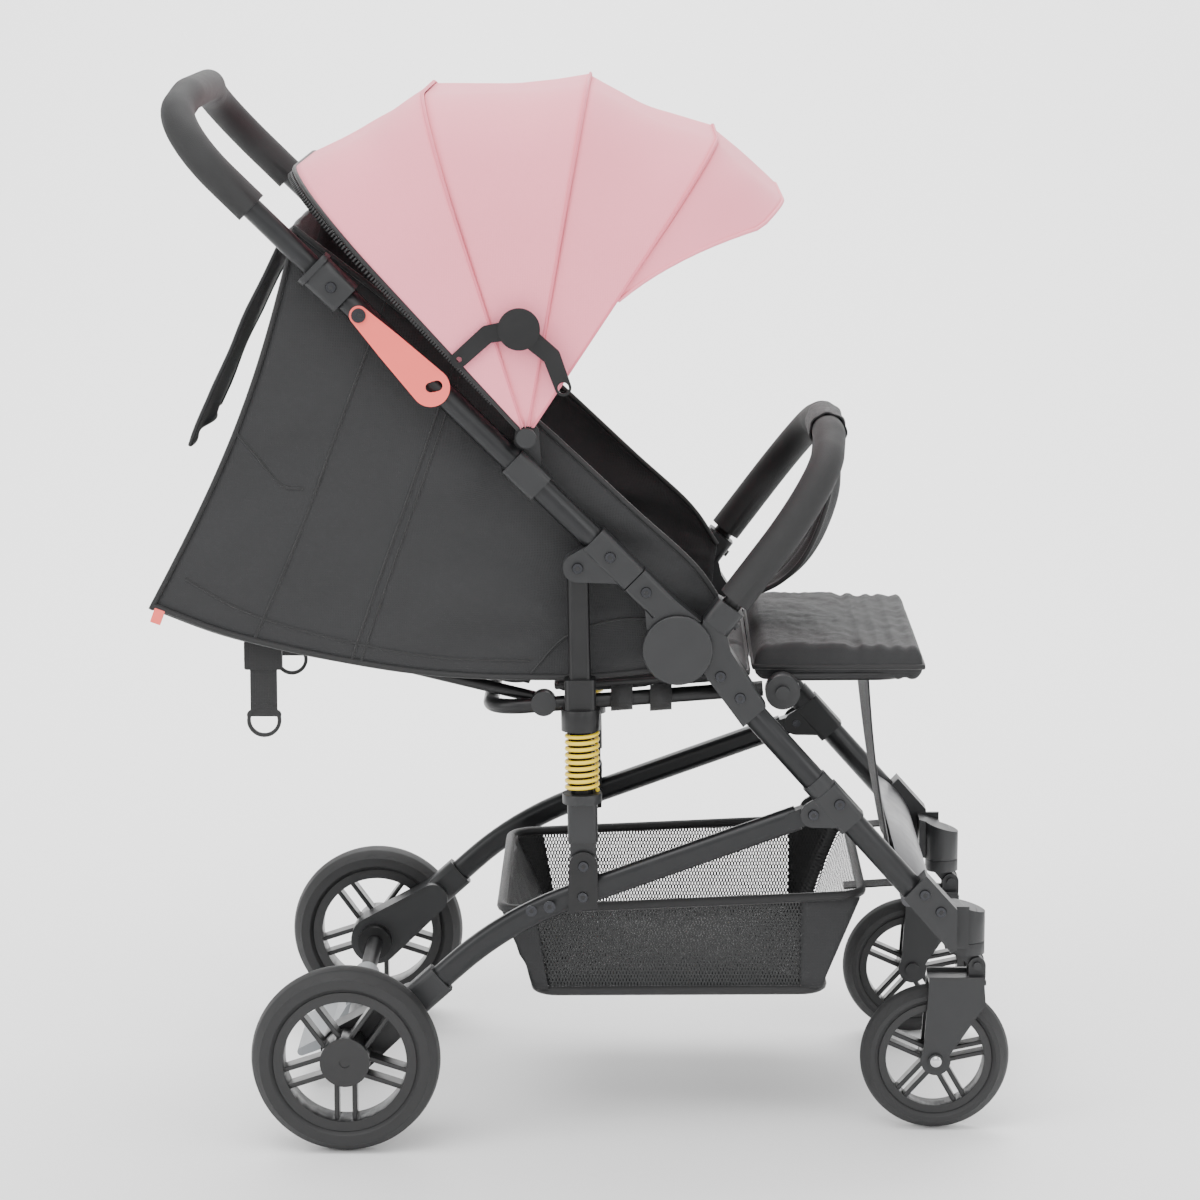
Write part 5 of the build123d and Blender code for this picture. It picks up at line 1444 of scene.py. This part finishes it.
class Basket:
    """Net basket with bound edges, a padded rear end, and straps."""

    def __init__(self, size: BasketSize) -> None:
        """Starts the basket.

        Args:
            size: Its sizes.
        """
        self.size = size

    def ring(self, level: float, shrink: float = 0.0) -> list[Vector]:
        """Closed loop round the basket at a height.

        Args:
            level: 0 at the bottom, 1 at the top.
            shrink: How far inside the outline it lies.

        Returns:
            The loop's points.
        """
        s = self.size
        rear = side_point(s.bottom_rear, 0).lerp(side_point(s.top_rear, 0), level)
        front = side_point(s.bottom_front, 0).lerp(side_point(s.top_front, 0), level)
        corner, half = 0.022, s.half_width - shrink
        x0, x1 = rear.x + shrink, front.x - shrink
        loop = []
        for cx, cy, start in ((x1 - corner, half - corner, 0), (x0 + corner, half - corner, 90),
                              (x0 + corner, -half + corner, 180), (x1 - corner, -half + corner, 270)):
            for i in range(7):
                a = math.radians(start + 15 * i)
                loop.append((cx + corner * math.cos(a), cy + corner * math.sin(a)))
        dense = []
        for here, there in zip(loop, loop[1:] + loop[:1]):
            steps = max(1, int(math.dist(here, there) / 0.012))
            dense += [(here[0] + (there[0] - here[0]) * k / steps, here[1] + (there[1] - here[1]) * k / steps)
                      for k in range(steps)]
        found = []
        for x, y in dense:
            t = min(1, max(0, (x - rear.x) / (front.x - rear.x)))
            found.append(Vector((x, y, rear.z + (front.z - rear.z) * t)))
        return found

    def build(self) -> None:
        """Builds the walls, the floor, the bindings and the rear end."""
        levels = 14
        low = self.ring(0.0)
        rows = []
        for i in range(levels + 1):
            t = i / levels
            row = []
            for k, start in enumerate(self.ring(1.0)):
                bottom = low[min(k * len(low) // len(self.ring(1.0)), len(low) - 1)]
                point = bottom.lerp(start, t)
                slack = 0.0035 * math.sin(math.pi * t) * noise.noise(Vector((point.x * 22, point.y * 22, 4)))
                middle = Vector((0.09, 0, point.z))
                row.append(point - (point - middle).normalized() * (abs(slack) + 0.001))
            rows.append(row)
        net = make_grid("Basket_net", rows, closed=True)
        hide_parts("basket")
        dress(net, NET, "front_frame")
        self.floor(low)
        for name, level in (("top", 1.0), ("bottom", 0.0)):
            binding = make_cord(f"Basket_binding_{name}", self.ring(level, 0.001), self.size.binding,
                                closed=True)
            dress(binding, PIPING, "front_frame")
        self.rear_end()
        self.panels()
        LOG.info("basket built")

    def floor(self, low: list[Vector]) -> None:
        """Adds the basket's cloth floor.

        Args:
            low: The lower edge.
        """
        centre = sum(low, Vector()) / len(low)
        vertices = [centre + Vector((0, 0, -0.0005))] + [p + Vector((0, 0, 0.0005)) for p in low]
        count = len(low)
        faces = [(0, 1 + i, 1 + (i + 1) % count) for i in range(count)]
        base = make_object("Basket_floor", vertices, faces)
        add_thickness(base, 0.0014)
        dress(base, SEAT_CLOTH, "front_frame")

    def rear_end(self) -> None:
        """Adds the padded rear end of the basket."""
        s = self.size
        rows = []
        for i in range(13):
            t = i / 12
            edge = side_point(s.bottom_rear, 0).lerp(side_point(s.top_rear, 0), t)
            rows.append([
                Vector((edge.x + 0.004 - 0.006 * math.sin(math.pi * t) * (1 - w**6)
                        + 0.003 * noise.noise(Vector((w * 6, t * 5, 7))), w * (s.half_width - 0.008), edge.z))
                for w in (j / 16 - 1 for j in range(33))
            ])
        end = make_grid("Basket_rear", rows)
        add_thickness(end, 0.006)
        dress(end, SEAT_CLOTH, "front_frame")

    def panels(self) -> None:
        """Adds the solid cloth corners at the front and rear of both sides."""
        s = self.size
        for side in Side:
            for name, (top, bottom, reach) in {"front": (s.top_front, s.bottom_front, -0.055),
                                               "rear": (s.top_rear, s.bottom_rear, 0.030)}.items():
                rows = []
                for i in range(9):
                    t = i / 8
                    edge = side_point(bottom, 0).lerp(side_point(top, 0), t)
                    rows.append([
                        Vector((edge.x + math.copysign(0.003, reach) + reach * w * (0.35 + 0.65 * t),
                                side.value * (s.half_width + 0.0006), edge.z + 0.002 * (1 - 2 * t)))
                        for w in (j / 8 for j in range(9))
                    ])
                patch = make_grid(f"Basket_{name}_patch_{side.name.lower()}", rows)
                add_thickness(patch, 0.0014)
                dress(patch, SEAT_CLOTH, "front_frame")
            for index, x in enumerate((0.235,)):
                strap = make_box(f"Basket_strap_{index}_{side.name.lower()}",
                                 Vector((x + 0.034, side.value * 0.120, 0.2255)),
                                 Vector((0.052, 0.025, 0.0016)),
                                 math.radians(4), 0.0004)
                dress(strap, WEBBING, "front_frame")


# ---------------------------------------------------------------- small trim


class Trim:
    """Painted shade in the bolts' hex sockets, and the hub bolts of the wheels."""

    def build(self) -> None:
        """Adds the small trim."""
        self.sockets("front_frame_bolts", "front_frame")
        self.sockets("upper_frame_bolts", "upper_frame")
        self.sockets("rear_leg_rivets", "rear_leg_assembly")
        self.axle_bolts()
        LOG.info("trim built")

    def islands(self, node: str) -> list[tuple[Vector, float]]:
        """Finds the outer faces of a bolt node's round heads.

        Args:
            node: The CAD node of bolts.

        Returns:
            The middle of each head's outer face, and its radius.
        """
        mesh = frame["nodes"][node].data
        grouped: dict[tuple[int, int, int], list[Vector]] = {}
        for v in mesh.vertices:
            grouped.setdefault((0, 0, round(v.co.y * 5000)), []).append(v.co)
        heads: list[tuple[Vector, float]] = []
        for points in grouped.values():
            rest = list(points)
            while rest:
                seed = rest[0]
                near = [p for p in rest if (p - seed).length < 0.0125]
                rest = [p for p in rest if (p - seed).length >= 0.0125]
                if len(near) >= 10:
                    middle = sum(near, Vector()) / len(near)
                    radius = sum((p - middle).length for p in near) / len(near)
                    heads.append((middle, radius))
        outer: list[tuple[Vector, float]] = []
        for middle, radius in heads:
            hidden = any(
                (other.xz - middle.xz).length < 0.003 and abs(other.y) > abs(middle.y) + 0.0002
                and other.y * middle.y > 0 for other, _ in heads
            )
            if not hidden:
                outer.append((middle, radius))
        return outer

    def sockets(self, node: str, body: str) -> None:
        """Adds a flat dark hexagon on each head, painted shade in its hex socket.

        Args:
            node: The CAD node of bolts.
            body: The body the bolts are on.
        """
        # Painted shade: a flat black hexagon stands in for the shade inside each socket.
        vertices, faces = [], []
        for middle, radius in self.islands(node):
            if not 0.002 < radius < 0.008:
                continue
            out = math.copysign(0.00015, middle.y)
            start = len(vertices)
            for i in range(6):
                a = math.tau * i / 6
                vertices.append(middle + Vector((0.0022 * math.cos(a), out, 0.0022 * math.sin(a))))
            faces.append(tuple(range(start, start + 6)))
        if faces:
            dress(make_object(f"Hex_{node}", vertices, faces), PIPING, body)

    def axle_bolts(self) -> None:
        """Adds the bright bolt heads of the front axles."""
        for side in Side:
            name = side.name.lower()
            low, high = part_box(f"fork_{name}")
            wheel_low, wheel_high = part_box(f"front_tyre_{name}")
            centre = (wheel_low + wheel_high) / 2
            outer = low.y if side is Side.RIGHT else high.y
            ring = [Vector((centre.x + 0.0052 * math.cos(a), outer, centre.z + 0.0052 * math.sin(a)))
                    for a in (math.tau * i / 24 for i in range(24))]
            tip = Vector((centre.x, outer + side.value * 0.0012, centre.z))
            inner = [p.lerp(tip, 0.55) + Vector((0, side.value * 0.0008, 0)) for p in ring]
            vertices = ring + inner + [tip]
            faces = [(i, (i + 1) % 24, 24 + (i + 1) % 24, 24 + i) for i in range(24)]
            faces += [(24 + i, 24 + (i + 1) % 24, 48) for i in range(24)]
            dress(make_object(f"Axle_bolt_{name}", vertices, faces), STEEL, f"front_fork_{name}")


# ---------------------------------------------------------------- studio


@dataclass(frozen=True)
class CameraPlace:
    """Where the camera stands and how it looks."""

    position: tuple[float, float, float] = (0.049, -3.763, 1.149)
    pitch: float = 10.15
    yaw: float = -0.56
    lens: float = 119.13
    sensor: float = 36.0


class Studio:
    """Pale floor, soft lights and the camera."""

    MIDDLE = Vector((0, 0, 0.5))
    BACKDROP_MIDDLE = Vector((0, 3.6, 0.8))
    LIGHTS = (
        ("Key_top", Vector((-0.6, -1.2, 3.4)), MIDDLE, 2.6, 74),
        ("Key_left", Vector((-3.2, -2.2, 1.9)), MIDDLE, 2.4, 46),
        ("Fill_right", Vector((3.2, -2.4, 1.7)), MIDDLE, 2.4, 38),
        ("Front", Vector((0.4, -4.6, 2.4)), MIDDLE, 2.2, 30),
        ("Back_wash", Vector((0.0, 2.2, 3.6)), BACKDROP_MIDDLE, 3.2, 230),
    )
    SKY_STRENGTH = 1.15

    def __init__(self, camera: CameraPlace) -> None:
        """Starts the studio.

        Args:
            camera: The camera's place.
        """
        self.camera = camera

    def floor(self) -> None:
        """Adds a pale sheet that curves up behind."""
        turns = [math.radians(a) for a in range(0, 91, 6)]
        curve = [(2.4 + 2.2 * math.sin(a), 2.2 - 2.2002 * math.cos(a)) for a in turns]
        profile = [(-9.0, -0.0002)] + curve + [(4.6, 9.0)]
        rows = [[Vector((x, y, z)) for x in (-9.0, 9.0)] for y, z in profile]
        sheet = make_grid("Backdrop", rows)
        material = bpy.data.materials.new("PalePaper")
        material.use_nodes = True
        graph = Graph(material.node_tree)
        shader = material.node_tree.nodes["Principled BSDF"]
        shader.inputs["Roughness"].default_value = 0.65
        shader.inputs["Base Color"].default_value = (0.93, 0.93, 0.93, 1.0)
        grain = graph.noise(graph.add("ShaderNodeTexCoord").outputs["Object"], 300.0, 2.0)
        bump = graph.add("ShaderNodeBump", {"Strength": 0.03, "Distance": 0.0003, "Height": grain})
        material.node_tree.links.new(bump.outputs[0], shader.inputs["Normal"])
        sheet.data.materials.append(material)

    def light(self, name: str, place: Vector, aim: Vector, size: float, power: float) -> None:
        """Adds a soft area light.

        Args:
            name: Its name.
            place: Where it stands.
            aim: What it points at.
            size: Its side length.
            power: Its power in watts.
        """
        data = bpy.data.lights.new(name, "AREA")
        data.energy, data.size = power, size
        lamp = bpy.data.objects.new(name, data)
        lamp.location = place
        lamp.rotation_euler = (aim - place).to_track_quat("-Z", "Y").to_euler()
        bpy.context.scene.collection.objects.link(lamp)

    def build(self) -> None:
        """Builds floor, lights, sky and camera."""
        self.floor()
        for name, place, aim, size, power in self.LIGHTS:
            self.light(name, place, aim, size, power)
        world = bpy.data.worlds.new("Sky")
        world.use_nodes = True
        background = world.node_tree.nodes["Background"]
        background.inputs[0].default_value = (1.0, 1.0, 1.0, 1.0)
        background.inputs[1].default_value = self.SKY_STRENGTH
        bpy.context.scene.world = world
        place = self.camera
        data = bpy.data.cameras.new("Camera")
        data.lens, data.sensor_width = place.lens, place.sensor
        camera = bpy.data.objects.new("Camera", data)
        camera.location = place.position
        camera.rotation_euler = (math.radians(90 - place.pitch), 0.0, -math.radians(place.yaw))
        bpy.context.scene.collection.objects.link(camera)
        bpy.context.scene.camera = camera
        LOG.info("studio built")


def main() -> None:
    """Builds every part of the scene in order."""
    logging.basicConfig(level=logging.INFO)
    HardParts().build()
    Canopy(CanopySize()).build()
    SeatBucket(BucketSize()).build()
    SeatPads().build()
    CrotchFlap().build()
    Basket(BasketSize()).build()
    Trim().build()
    Studio(CameraPlace()).build()


if __name__ == "__main__":
    main()
